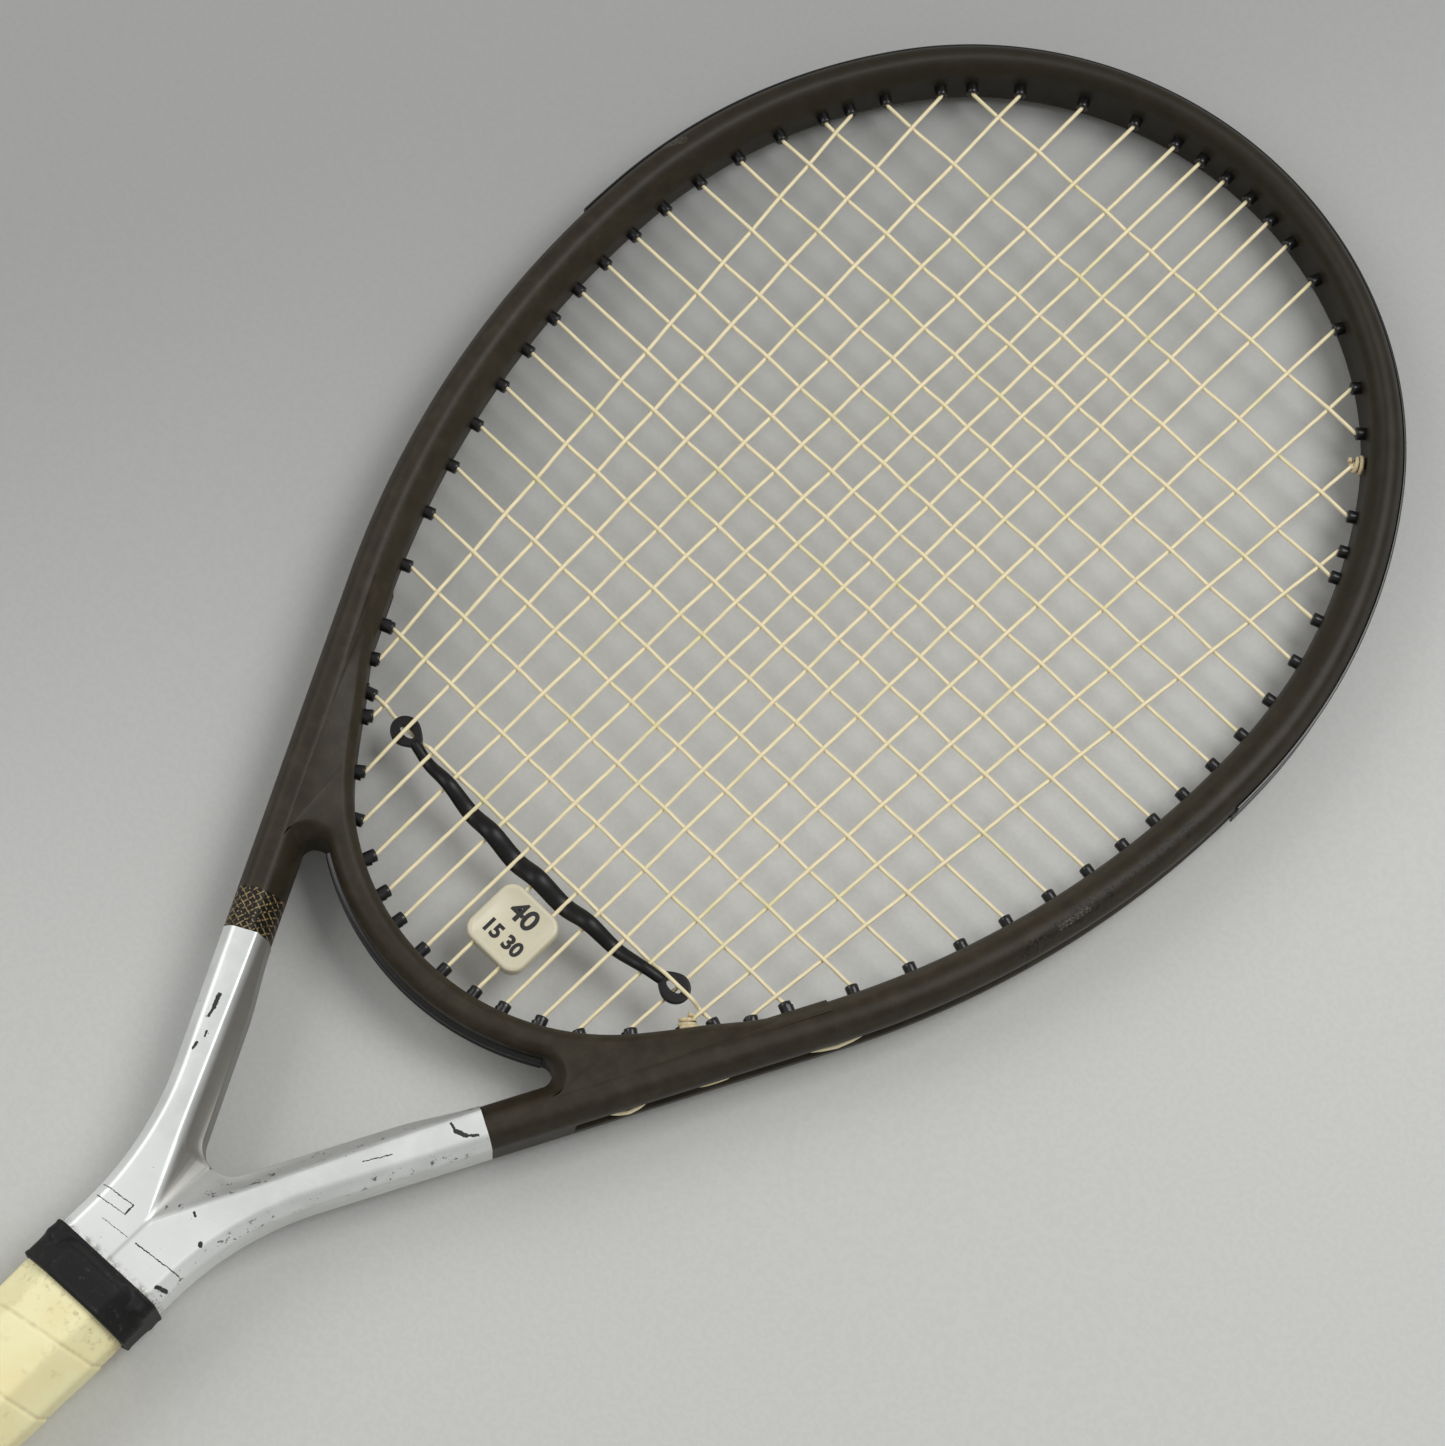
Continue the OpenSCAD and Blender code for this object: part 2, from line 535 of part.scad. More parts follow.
// Round tube through points, with mitred bends and a level frame
function unit(v) = v / norm(v);
function tube_ring(pts, i, r, sides, flat) =
    let (n = len(pts),
         a = unit(i == 0 ? pts[1] - pts[0] : pts[i] - pts[i - 1]),
         b = unit(i == n - 1 ? pts[i] - pts[i - 1] : pts[i + 1] - pts[i]),
         t = unit(a + b),
         side = unit(cross(t, [0, 0, 1])),
         up = cross(side, t),
         k = 1 / max(0.6, t * a),
         rad = is_list(r) ? r[i] : r)
    [for (j = [0:sides - 1]) let (q = 360 * j / sides)
        pts[i] + rad * k * cos(q) * side + (is_list(flat) ? flat[i] : rad) * sin(q) * up];
module tube(pts, r, sides, flat = 0) {
    loft([for (i = [0:len(pts) - 1]) tube_ring(pts, i, r, sides, flat)]);
}
// Circumradius that gives the hexagonal tube the string's mean diameter
R_HEX = R_STRING * 1.04;

function side3(p, s, z) = [s * p[0], p[1], z];
function into_hole(h, s, shift = 0) = let (q = h[0] + shift * [-h[1][1], h[1][0]])
    side3(q + (h[2] - 1.3) * h[1], s, 0);
function mouth(h, s) = side3(h[0], s, 0);
// Points in the channel between two holes; lane is their height in it
function lane_pts(a, b, s, lane) =
    let (fr = lane == 0 ? [0.12, 0.88] : [0.12, 0.33, 0.67, 0.88],
         zz = lane == 0 ? [0, 0] : [0.6, 1, 1, 0.6])
    [for (i = [0:len(fr) - 1]) side3(at(a[3] + fr[i] * (b[3] - a[3]), LANE), s, lane * zz[i])];
function loop(a, b, s, lane) = concat([into_hole(a, s)], lane_pts(a, b, s, lane), [into_hole(b, s)]);
function bridge_loop(a, b, s) = concat([into_hole(a, s)],
    [for (f = [0.12, 0.5, 0.88]) side3(bridge_pt(a[3][0] + f * (b[3][0] - a[3][0]), BRIDGE_LANE), s, 0)],
    [into_hole(b, s)]);
function reversed(v) = [for (i = [len(v) - 1:-1:0]) v[i]];
lane_z = 2.1;

// One side's mains from the centre outward: down main 0, up main 1, and so on
function main_side(s) = concat(
    [mouth(TIP_HOLES[0], s), mouth(throat_hole(0), s)],
    [for (k = [1:N_MAIN - 1])
        let (low = k % 2 == 1, a = low ? throat_hole(k - 1) : TIP_HOLES[k - 1],
             b = low ? throat_hole(k) : TIP_HOLES[k],
             // Loops that pass another hole leave the middle of the channel
             lane = low ? (k == 7 ? lane_z : 0) : (k == 6 ? -s * lane_z : 0))
        each concat(low && k < 4 ? bridge_loop(a, b, s) : loop(a, b, s, lane),
                    [mouth(b, s), mouth(low ? TIP_HOLES[k] : throat_hole(k), s)])]);
// Over the tip between the two centre mains
function tip_bridge() = [into_hole(TIP_HOLES[0], -1),
    side3(at(TIP_HOLES[0][3] * 0.7, LANE), -1, 0), side3(at(TIP_HOLES[0][3] * 0.7, LANE), 1, 0),
    into_hole(TIP_HOLES[0], 1)];
// Last main to the knot's grommet: right side only
function knot_entry(h, from, s, lane) =
    let (shift = -TIE_GAP, q = h[0] + shift * [-h[1][1], h[1][0]],
         c = h[0] + shift * 1.9 * [-h[1][1], h[1][0]] + h[2] * h[1])
    concat([side3(c, s, lane * 0.3), into_hole(h, s, shift)], [side3(q - 1.5 * h[1], s, 0)]);
function tip_knot_run() = let (a = TIP_HOLES[N_MAIN - 1], b = TIP_HOLES[TIE_K])
    concat([into_hole(a, 1)], [for (f = [0.12, 0.33, 0.62]) side3(
        at(a[3] + f * (b[3] - a[3]), LANE), 1, -lane_z * (f < 0.2 ? 0.6 : 1))],
        knot_entry(b, a, 1, -lane_z));
// The left side's last main crosses to the first cross string's hole
SPLIT = side3(at((TIP_HOLES[N_MAIN - 1][3] + SIDE_HOLES[0][3]) / 2, LANE), -1, lane_z);
function left_end() = [into_hole(TIP_HOLES[N_MAIN - 1], -1),
    side3(at(TIP_HOLES[N_MAIN - 1][3] * 0.88 + SIDE_HOLES[0][3] * 0.12, LANE), -1, lane_z * 0.6),
    side3(at(TIP_HOLES[N_MAIN - 1][3] * 0.67 + SIDE_HOLES[0][3] * 0.33, LANE), -1, lane_z)];
MAIN_ROUTE = concat(reversed(concat(main_side(-1), left_end(), [SPLIT])),
    tip_bridge(), main_side(1), tip_knot_run());

// Where a main string is at a given height, and how a cross passes it
function main_x(k, y) = let (a = throat_hole(k)[0], b = TIP_HOLES[k][0])
    a[0] + (b[0] - a[0]) * (y - a[1]) / (b[1] - a[1]);
// Mains are numbered 1 to 16 from the left for the weave
function weave_z(j, num) = (j + 1 + num) % 2 == 1 ? weave : -weave;
eyelet_main = 3;
// The last cross dips past the eyelets, which lie between it and a main
EYELET_Z = R_STRING + eyelet_t / 2 + 0.15;
CLEAR_EYELET = EYELET_Z + eyelet_t / 2 + R_STRING + 0.2;
EYELET_NUMS = [eyelet_main, 2 * N_MAIN + 1 - eyelet_main];
// Points of the last cross round an eyelet, from the main before to the main after
function past_eyelet(x, lo, hi, y, z) = [for (q = [[lo + 1.5, -weave], [x - eyelet_r - 0.7, CLEAR_EYELET],
    [x + eyelet_r + 0.7, CLEAR_EYELET], [hi - 1.5, -weave]]) [q[0], y, z * q[1]]];
function cross_run(j) = let (y = cross_y[j])
    [for (num = [1:2 * N_MAIN])
        let (k = num <= N_MAIN ? N_MAIN - num : num - N_MAIN - 1, s = num <= N_MAIN ? -1 : 1,
             x = main_x(k, y))
        if (x < mouth(SIDE_HOLES[j], 1)[0] - 3 && TIP_HOLES[k][0][1] > y + 1 && throat_hole(k)[0][1] < y - 1)
            each j == LAST && (num == EYELET_NUMS[0] || num == EYELET_NUMS[1])
                ? past_eyelet(s * x, s * main_x(k + (s < 0 ? 1 : -1), y), s * main_x(k + (s < 0 ? -1 : 1), y), y, s)
                : [[s * x, y, weave_z(j, num)]]];
function cross_lane(j, s) = j == 0 ? lane_z : (j == 1 || j == LAST - 1) && s < 0 ? -lane_z : 0;
CROSS_ROUTE = concat(
    [SPLIT, side3(at(TIP_HOLES[N_MAIN - 1][3] * 0.2 + SIDE_HOLES[0][3] * 0.8, LANE), -1, lane_z * 0.8),
     side3(at(TIP_HOLES[N_MAIN - 1][3] * 0.06 + SIDE_HOLES[0][3] * 0.94, LANE), -1, lane_z * 0.4),
     into_hole(SIDE_HOLES[0], -1)],
    [for (j = [0:LAST]) let (s = j % 2 == 0 ? 1 : -1, h = SIDE_HOLES[j])
        each concat([mouth(h, -s)], s > 0 ? cross_run(j) : reversed(cross_run(j)), [mouth(h, s)],
            j < LAST ? loop(h, SIDE_HOLES[j + 1], s, cross_lane(j, s)) : [into_hole(h, s)])],
    let (b = throat_hole(TIE_K), a = SIDE_HOLES[LAST])
        concat([for (f = [0.2, 0.6, 1]) side3(at(a[3] + f * (b[3] - a[3]), LANE), 1,
                                           -lane_z * (f < 0.3 ? 0.6 : 1))],
               knot_entry(b, a, 1, -lane_z)));

STRING_ROUTE = concat(reversed(CROSS_ROUTE), [for (i = [1:len(MAIN_ROUTE) - 1]) MAIN_ROUTE[i]]);
module string() color([0.9, 0.84, 0.66]) tube(STRING_ROUTE, R_HEX, 6);

// Two turns round the neighbouring main and a short tail
module knot(h, dir) {
    a = atan2(dir[1], dir[0]);
    translate([h[0][0], h[0][1], 0] + [dir[0], dir[1], 0] * 2.4) rotate([0, 0, a]) rotate([0, 90, 0]) {
        for (i = [0, 1]) translate([0, 0, i * (string_d + 0.1)])
            rotate_extrude() translate([string_d + 0.15, 0]) circle(R_STRING);
        translate([-string_d - 0.15, 0, string_d / 2]) rotate([0, -60, 0])
            cylinder(r = R_STRING, h = 4.2);
    }
}
module tie_off_knots() color([0.9, 0.84, 0.66]) {
    d = TIP_HOLES[TIE_K][0] - throat_hole(TIE_K)[0];
    knot(TIP_HOLES[TIE_K], -unit(d));
    knot(throat_hole(TIE_K), unit(d));
}

/* ---------------------------------------------------------- accessories */

EYELET_X = main_x(N_MAIN - eyelet_main, cross_y[LAST]);
damper_y = cross_y[LAST] - R_STRING - damper_d / 2 - 0.25;
damper_sag = 3.4;
DAMPER_Z = R_STRING + damper_d / 2 + 0.15;
// Under the even mains and over the odd ones, sagging a little at the middle
DAMPER_ROUTE = concat([[-EYELET_X + eyelet_r - 1.6, damper_y + 1, -EYELET_Z]],
    [for (num = [eyelet_main + 1:2 * N_MAIN - eyelet_main])
        let (k = num <= N_MAIN ? N_MAIN - num : num - N_MAIN - 1, s = num <= N_MAIN ? -1 : 1,
             x = s * main_x(k, damper_y), w = 1 - pow(x / EYELET_X, 2))
        each [for (e = [-0.8, 0.8]) [x + e, damper_y - damper_sag * w * w, num % 2 == 0 ? -DAMPER_Z : DAMPER_Z]]],
    [[EYELET_X - eyelet_r + 1.6, damper_y + 1, EYELET_Z]]);
module string_dampener() color([0.06, 0.06, 0.06]) difference() {
    union() {
        tube(DAMPER_ROUTE,
             [for (p = DAMPER_ROUTE) damper_d / 2 + damper_swell / 2 * pow(1 - pow(p[0] / EYELET_X, 2), 3)],
             8, [for (p = DAMPER_ROUTE) damper_d / 2]);
        for (s = [-1, 1]) translate([s * EYELET_X, damper_y + 1.9, s * EYELET_Z])
            cylinder(r = eyelet_r, h = eyelet_t, center = true);
    }
    for (s = [-1, 1]) translate([s * EYELET_X, damper_y + 1.9, 0]) cylinder(r = eyelet_hole, h = 20, center = true);
}

// The tile rides on two neighbouring mains right of the centre line
tile_y = throat_y + tile_rise;
TILE_RAIL = [main_x(0, tile_y), main_x(1, tile_y)];
TILE_X = (TILE_RAIL[0] + TILE_RAIL[1]) / 2;
module serve_tile() color([0.86, 0.83, 0.7]) difference() {
    translate([TILE_X, tile_y, -tile_below]) {
        c = tile_w - 2 * tile_corner;
        translate([-c / 2, -tile_w / 2, 0]) cube([c, tile_w, tile_above + tile_below]);
        translate([-tile_w / 2, -c / 2, 0]) cube([tile_w, c, tile_above + tile_below]);
        for (x = [-1, 1], y = [-1, 1]) translate([x * c / 2, y * c / 2, 0])
            cylinder(r = tile_corner, h = tile_above + tile_below);
    }
    // Bores for the two strings, each with a snap slot to the back
    for (x = TILE_RAIL) {
        translate([x, tile_y - tile_w, 0]) rotate([-90, 0, 0])
            cylinder(r = R_STRING + tile_play, h = 2 * tile_w);
        translate([x - R_STRING * 0.8, tile_y - tile_w, -tile_below - 1])
            cube([R_STRING * 1.6, 2 * tile_w, tile_below + 1]);
    }
}

/* --------------------------------------------------------------- handle */

// Octagon with its corners cut by c, grown by g on every side
module octagon(w, h, c, g = 0) {
    x = w / 2 + g;
    z = h / 2 + g;
    k = c + g * 0.59;
    polygon([[x, z - k], [x - k, z], [k - x, z], [-x, z - k],
             [-x, k - z], [k - x, -z], [x - k, -z], [x, k - z]]);
}
module upright(y0, y1) {
    translate([0, y1, 0]) rotate([90, 0, 0]) linear_extrude(y1 - y0) children();
}
pallet_y = door_t + 4;
module pallet_octagon(g = 0) octagon(pallet_w, pallet_h, pallet_cut, g);
module handle_pallet() color([0.75, 0.68, 0.5]) difference() {
    upright(pallet_y, shaft_y) pallet_octagon();
    upright(pallet_y - 1, shaft_y + 1) square([stem_w, stem_h], center = true);
}

// Distance from the axis to the octagon's edge in direction a
function octagon_reach(a, w, h, c) =
    let (x = w / 2, z = h / 2, ca = abs(cos(a)), sa = abs(sin(a)))
    min(ca < 0.001 ? 1000 : x / ca, sa < 0.001 ? 1000 : z / sa, (x + z - c) / (ca + sa));
// Angles of the octagon's corners with two points on each side between them
OCT_A = let (x = pallet_w / 2, z = pallet_h / 2, c = pallet_cut,
             q = [atan2(z - c, x), atan2(z, x - c)])
    [for (b = [0, 90, 180, 270]) each [for (i = [0, 1, 2, 3, 4, 5])
        let (lo = b % 180 == 0 ? q[0] : 90 - q[1], hi = b % 180 == 0 ? q[1] : 90 - q[0])
        b + [0, lo * 0.6, lo, (lo + hi) / 2, hi, hi + (90 - hi) * 0.4][i]]];
WRAP_RINGS = 40;
// Each turn rises towards its edge, which lies on the turn before
function wrap_lift(a, y) = let (f = (y - wrap_y) / wrap_pitch + a / 360, g = f - floor(f))
    wrap_ridge * (g < 0.84 ? g / 0.84 : (1 - g) / 0.16);
function flare(y) = skirt_t + (cap_flare - skirt_t) * max(0, min(1, (cap_len - y) / (cap_len - 6)));
module cap_skirt(g, y1) {
    hull() {
        upright(wrap_y - 1, 6) pallet_octagon(cap_flare + g);
        upright(y1 - 0.5, y1) pallet_octagon(skirt_t + g);
    }
}
module grip_wrap() color([0.93, 0.87, 0.66]) difference() {
    loft([for (i = [0:WRAP_RINGS]) let (y = wrap_y + (wrap_top - wrap_y) * i / WRAP_RINGS)
        [for (a = OCT_A) let (end = min(1, (wrap_top - y) / 10), g = 2 * flare(y),
                r = octagon_reach(a, pallet_w + g, pallet_h + g, pallet_cut + 0.3 * g)
                    + (wrap_t + wrap_lift(a, y)) * (0.55 + 0.45 * end) - (y > cap_len ? skirt_t : 0))
            [r * cos(a), y, r * sin(a)]]]);
    upright(wrap_y - 1, wrap_top + 1) pallet_octagon(0.02);
    cap_skirt(0.02, cap_len + 0.2);
}
module finishing_tape() color([0.8, 0.72, 0.5]) difference() {
    upright(wrap_top + 0.1, shaft_y) pallet_octagon(wrap_t * 0.55);
    upright(wrap_top, shaft_y + 1) pallet_octagon(0.02);
}
module grip_collar() color([0.07, 0.07, 0.07]) difference() {
    g = wrap_t + wrap_ridge + 0.1;
    hull() {
        upright(collar_y, shaft_y - 4) pallet_octagon(g + collar_t);
        upright(shaft_y - 1, collar_y + collar_len)
            octagon(shaft_w, hoop_h, pallet_cut * 0.8, 0.3 + collar_t);
    }
    upright(collar_y - 1, shaft_y + 0.1) pallet_octagon(g);
    upright(shaft_y, collar_y + collar_len + 1) octagon(shaft_w, hoop_h, 2, 0.15);
}

module butt_cap() color([0.08, 0.08, 0.08]) difference() {
    union() {
        upright(0, wrap_y - 0.2) pallet_octagon(cap_flare + wrap_t);
        cap_skirt(0, cap_len);
    }
    upright(pallet_y, cap_len + 1) pallet_octagon(0.02);
    upright(door_t, pallet_y + 1) pallet_octagon(-2);
    // Seat of the door
    rotate([-90, 0, 0]) translate([0, 0, -1]) cylinder(r = door_r, h = door_t + 2);
}
DOOR_PLAY = 0.3;
module butt_door() color([0.1, 0.1, 0.1]) rotate([-90, 0, 0]) difference() {
    union() {
        cylinder(r = door_r - DOOR_PLAY, h = door_t);
        // Two spring tongues behind the end wall
        for (s = [-1, 1]) translate([s * (door_r - 2.4) - 0.6, -2.5, 0]) cube([1.2, 5, door_t + 3.4]);
    }
    // Slot for a fingernail, near the rim
    translate([-3, door_r * 0.55, -1]) cube([6, 1.4, 1.6]);
}
module butt_staples() color([0.7, 0.7, 0.72]) {
    z = pallet_h / 2;
    // Set into the cap's skirt, one on each wide face
    for (s = [-1, 1]) translate([0, cap_len - 8, s * z]) {
        translate([-5, -0.4, s > 0 ? 0 : -0.5]) cube([10, 0.8, 0.5]);
        for (x = [-5, 4.5]) translate([x, -0.25, s > 0 ? -3 : 0]) cube([0.5, 0.5, 3]);
    }
}

head_hoop();
throat_bridge();
throat_yoke();
shaft_tubes();
bumper_guard();
grommet_strip_left();
grommet_strip_right();
grommet_strip_throat();
string();
tie_off_knots();
string_dampener();
serve_tile();
handle_pallet();
grip_wrap();
finishing_tape();
grip_collar();
butt_cap();
butt_door();
butt_staples();
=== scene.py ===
"""Looks of an oversize tennis racket: hoop, silver yoke, stringing, wound grip and what hangs on the strings."""

import math
from collections import namedtuple

import bmesh
import bpy
import numpy as np
from mathutils import Matrix, Vector


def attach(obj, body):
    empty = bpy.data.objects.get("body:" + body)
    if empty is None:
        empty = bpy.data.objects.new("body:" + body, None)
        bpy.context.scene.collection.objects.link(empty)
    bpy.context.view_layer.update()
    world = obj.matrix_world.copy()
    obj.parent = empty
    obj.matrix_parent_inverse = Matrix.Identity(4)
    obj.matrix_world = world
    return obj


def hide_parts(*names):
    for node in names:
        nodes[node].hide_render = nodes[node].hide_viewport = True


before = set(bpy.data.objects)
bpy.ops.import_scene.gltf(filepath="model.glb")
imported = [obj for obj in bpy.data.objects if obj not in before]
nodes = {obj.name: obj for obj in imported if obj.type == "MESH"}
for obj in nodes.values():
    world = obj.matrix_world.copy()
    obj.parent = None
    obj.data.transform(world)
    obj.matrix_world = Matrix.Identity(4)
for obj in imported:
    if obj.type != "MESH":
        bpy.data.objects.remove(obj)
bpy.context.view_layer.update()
MM = 0.001

# ---------------------------------------------------------------- sizes, in millimetres
# Hoop outline: arcs from the tip down one side, then a straight arm
TIP_R, TIP_SWEEP = 130.0, 55.5
SHOULDER_R, SHOULDER_SWEEP = 182.0, 33.0
FLANK_R, FLANK_SWEEP = 315.0, 29.0
TIP_Y = 697.5
LEFT_ARM, RIGHT_ARM = 117.0, 107.0
LEFT_ROWS, RIGHT_ROWS, HEAD_STEP = 40, 38, 0.7
HOOP_W, HALF_H = 14.0, 12.8
OUTER_WALL, INNER_WALL = 7.6, 5.5
OUTER_BEVEL, INNER_BEVEL, FACET_FALL = 2.9, 5.0, 0.5
CHANNEL_W, CHANNEL_D = 3.6, 3.4
# The hoop is narrower than the arms, most of all at the tip, where its inner wall is also taller
HEAD_W, TIP_W, TIP_WALL = 13.2, 9.9, 9.6
# Barrels: how far they stand out of a wall, how deep they are rooted and how far a mouth may slide
BARREL_OUT, BARREL_STAND, BRIDGE_STAND, BARREL_ROOT = 2.2, 3.0, 3.9, 6.0
MOST_SLID, MOST_SLID_CROSS, MOST_SLID_LAST_MAIN = 9.0, 3.2, 0.8
# Bridge; its rail is measured from the hoop's wall and top
THROAT_Y, BRIDGE_R, BRIDGE_TURN, BRIDGE_W = 320.6, 77.0, 50.0, 9.2
BRIDGE_H, BRIDGE_BEVEL, CORNER_R, BRIDGE_CHANNEL = 10.5, 2.4, 4.5, 2.2
RAIL_INSET, RAIL_FALL, TIP_EDGE_Z, BRIDGE_CHANNEL_X = 5.9, 0.24, 8.9, 36.5
# Lengths over which the arm's walls widen, a channel fades out and the bridge's top rises from the hoop
ARM_RUN, CHANNEL_RUN, BRIDGE_RUN, RISE_RUN = 45.0, 1.5, 46.0, 48.0
# Yoke and shaft
SHAFT_HW, FLARE_R, SHAFT_Y = 18.4, 100.0, 190.0
RECESS_Y, CROTCH_Y, CROTCH_R = 208.0, 233.5, 8.5
# V recess: the ridge's slope as a part of the arm's, the least width and the power of its fall; then the lengths
# over which the arm widens, the facet falls and the valley's curl ends
RIDGE_SLOPE, LEAST_FALL, FALL_POWER = 0.93, 1.2, 1.3
WIDEN_RUN, FACET_RUN, CURL_RUN = 25.0, 50.0, 55.0
# Stringing: mains are counted 0 to 7 from the centre of each side, and the first four end on the bridge's ring
STRING_R = 0.65
MAINS, RING_MAINS, LAST_MAIN, LAST_CROSS = 8, 4, 7, 18
MAIN_TIP_X = np.array([5, 14.8, 24.5, 38.6, 54.8, 71.9, 89.5, 105.2])
MAIN_THROAT_X = np.array([4.4, 15.6, 24.8, 35.4, 45.6, 56.2, 67.2, 79])
FIRST_CROSS_Y = 649.0
CROSS_GAP = np.array([23, 19, 14.5, 15, 15, 14.5, 13.5, 13.5, 12.5, 12.5, 13.5, 14, 15, 15, 16, 17, 18, 19])
OUTER_MAIN_Y = 376.8
# Height of a string's middle where it crosses another, which presses it the other way
WEAVE = 0.6
# Middle of a string in its channel above the channel's floor: the strip's base, the radius and a gap
STRING_RISE = 1.0 + STRING_R + 0.35
# Where a string shares a channel it runs this far off the middle; loops low on the arms bulge out
LANE_Z, BULGE, BULGE_Y, BULGE_RUN = 2.1, 1.5, 415.0, 25.0
TIE_MAIN, TIE_GAP = 6, 2 * STRING_R + 0.2
# How far a string turns short of its channel, and how far a cross's last crossing keeps from its hole
TURN_SHORT, CLEAR_HOLE = 1.3, 3.0
# Handle
PALLET_W, PALLET_H, PALLET_CUT = 32.0, 28.4, 8.2
WRAP_Y, WRAP_TOP, WRAP_T, WRAP_RIDGE, WRAP_PITCH = 3.8, 187.0, 1.7, 0.35, 21.0
CAP_LEN, CAP_FLARE, SKIRT_T = 30.0, 2.7, 0.8
COLLAR_Y, COLLAR_LEN, COLLAR_T = 179.5, 14.0, 1.1
# On the strings; the dampener hangs from main 5 of one side to main 5 of the other
TILE_W, TILE_CORNER, TILE_ABOVE, TILE_BELOW, TILE_Y = 22.0, 4.6, 2.7, 2.5, 346.4
DAMPER_D, DAMPER_SAG, DAMPER_Y, DAMPER_MAIN = 4.0, 3.4, 365.6, 5
EYELET_R, EYELET_T, EYELET_Z = 5.8, 1.8, 1.25


# ---------------------------------------------------------------- numbers and points
def smoothstep(x):
    """0 below 0, 1 above 1 and a smooth curve between."""
    x = np.clip(x, 0, 1)
    return x * x * (3 - 2 * x)


def blend(a, b, share):
    """a where the share is 0, b where it is 1."""
    return a + (b - a) * share


def points(*coordinates):
    """Points from their coordinates, spread to one shape."""
    return np.stack(np.broadcast_arrays(*coordinates), -1)


def raised(flat, z):
    """Flat points put at a height, or each at its own."""
    return points(flat[..., 0], flat[..., 1], z)


def unit(vectors):
    """The vectors at length 1."""
    return vectors / np.maximum(np.linalg.norm(vectors, axis=-1, keepdims=True), 1e-9)


def circle(count):
    """Angles spread evenly over a full turn."""
    return np.linspace(0, 2 * np.pi, count, endpoint=False)


def bent(start, corner, end, t):
    """Quadratic curve from start to end, which leaves and arrives in line with the corner."""
    return (1 - t) ** 2 * start + 2 * t * (1 - t) * corner + t ** 2 * end


def both_faces(upper):
    """A section's upper half and then its mirror image below, as one closed outline."""
    mirror = np.append(np.ones(upper.shape[-1] - 1), -1)
    return np.concatenate([upper, upper[..., ::-1, :] * mirror], -2)


def fillets(corners, cuts, steps=5):
    """Rounds a closed polygon (..., k, d): each corner becomes a curve between the points its cut away on both
    sides. Cuts given for the upper half only are taken for the lower half too."""
    cuts = np.asarray(cuts, float)
    if cuts.shape[-1] < corners.shape[-2]:
        cuts = np.concatenate([cuts, cuts[..., ::-1]], -1)
    ends = []
    for turn in (1, -1):
        way = np.roll(corners, turn, -2) - corners
        most = 0.47 * np.linalg.norm(way, axis=-1, keepdims=True)
        ends.append((corners + unit(way) * np.minimum(cuts[..., None], most))[..., None, :])
    curve = bent(ends[0], corners[..., None, :], ends[1], np.linspace(0, 1, steps)[:, None])
    return curve.reshape(corners.shape[:-2] + (-1, corners.shape[-1]))


# ---------------------------------------------------------------- meshes from grids
def in_scene(name, data):
    """A new object in the scene."""
    obj = bpy.data.objects.new(name, data)
    bpy.context.scene.collection.objects.link(obj)
    return obj


def put_mesh(name, places, faces, attributes=None):
    """A mesh object from points in millimetres and a list of faces."""
    mesh = bpy.data.meshes.new(name)
    mesh.from_pydata((places * MM).tolist(), [], faces)
    for key, values in (attributes or {}).items():
        layer = mesh.attributes.new(key, "FLOAT", "POINT")
        layer.data.foreach_set("value", np.ascontiguousarray(values, np.float32).ravel())
    mesh.shade_smooth()
    return in_scene(name, mesh)


def grid_faces(n, m, close_rows=False):
    """Quads between neighbouring points of an n by m grid whose columns close, as index arrays."""
    i = np.arange(n if close_rows else n - 1)[:, None]
    j = np.arange(m)[None, :]
    i2, j2 = (i + 1) % n, (j + 1) % m
    return np.stack([i * m + j, i * m + j2, i2 * m + j2, i2 * m + j], -1).reshape(-1, 4)


def solid(name, places, faces, crisp=None, attributes=None):
    """A mesh object with every face turned outwards, and edges sharper than an angle in degrees kept crisp."""
    obj = put_mesh(name, places, faces, attributes)
    work = bmesh.new()
    work.from_mesh(obj.data)
    bmesh.ops.recalc_face_normals(work, faces=work.faces)
    if work.calc_volume(signed=True) < 0:
        bmesh.ops.reverse_faces(work, faces=work.faces)
    work.to_mesh(obj.data)
    work.free()
    if crisp:
        obj.data.set_sharp_from_angle(angle=math.radians(crisp))
    return obj


def loft(name, rings, crisp=None, closed=False, attributes=None):
    """A tube through rings of points; rings[i, j] is point j of ring i. Open ends get a cap."""
    n, m, _ = rings.shape
    caps = [] if closed else [list(range(m - 1, -1, -1)), list(range((n - 1) * m, n * m))]
    faces = grid_faces(n, m, close_rows=closed).tolist() + caps
    return solid(name, rings.reshape(-1, 3), faces, crisp, attributes)


# ---------------------------------------------------------------- hoop outline
# Headings are in degrees, 0 at the tip; PH1, PH2 and PH3 are where the arcs end
PH1, PH2 = TIP_SWEEP, TIP_SWEEP + SHOULDER_SWEEP
PH3 = PH2 + FLANK_SWEEP
ARM_TILT = PH3 - 90


def out_dir(heading):
    """Unit vector outwards at a heading."""
    a = np.radians(heading)
    return points(np.sin(a), np.cos(a))


def run_dir(heading):
    """Unit vector along the hoop, away from the tip."""
    return out_dir(heading)[..., ::-1] * [1, -1]


C1 = np.array([0, TIP_Y - TIP_R])
C2 = C1 + (TIP_R - SHOULDER_R) * out_dir(PH1)
CENTRES = np.array([C1, C2, C2 + (SHOULDER_R - FLANK_R) * out_dir(PH2)])
RADII = np.array([TIP_R, SHOULDER_R, FLANK_R])


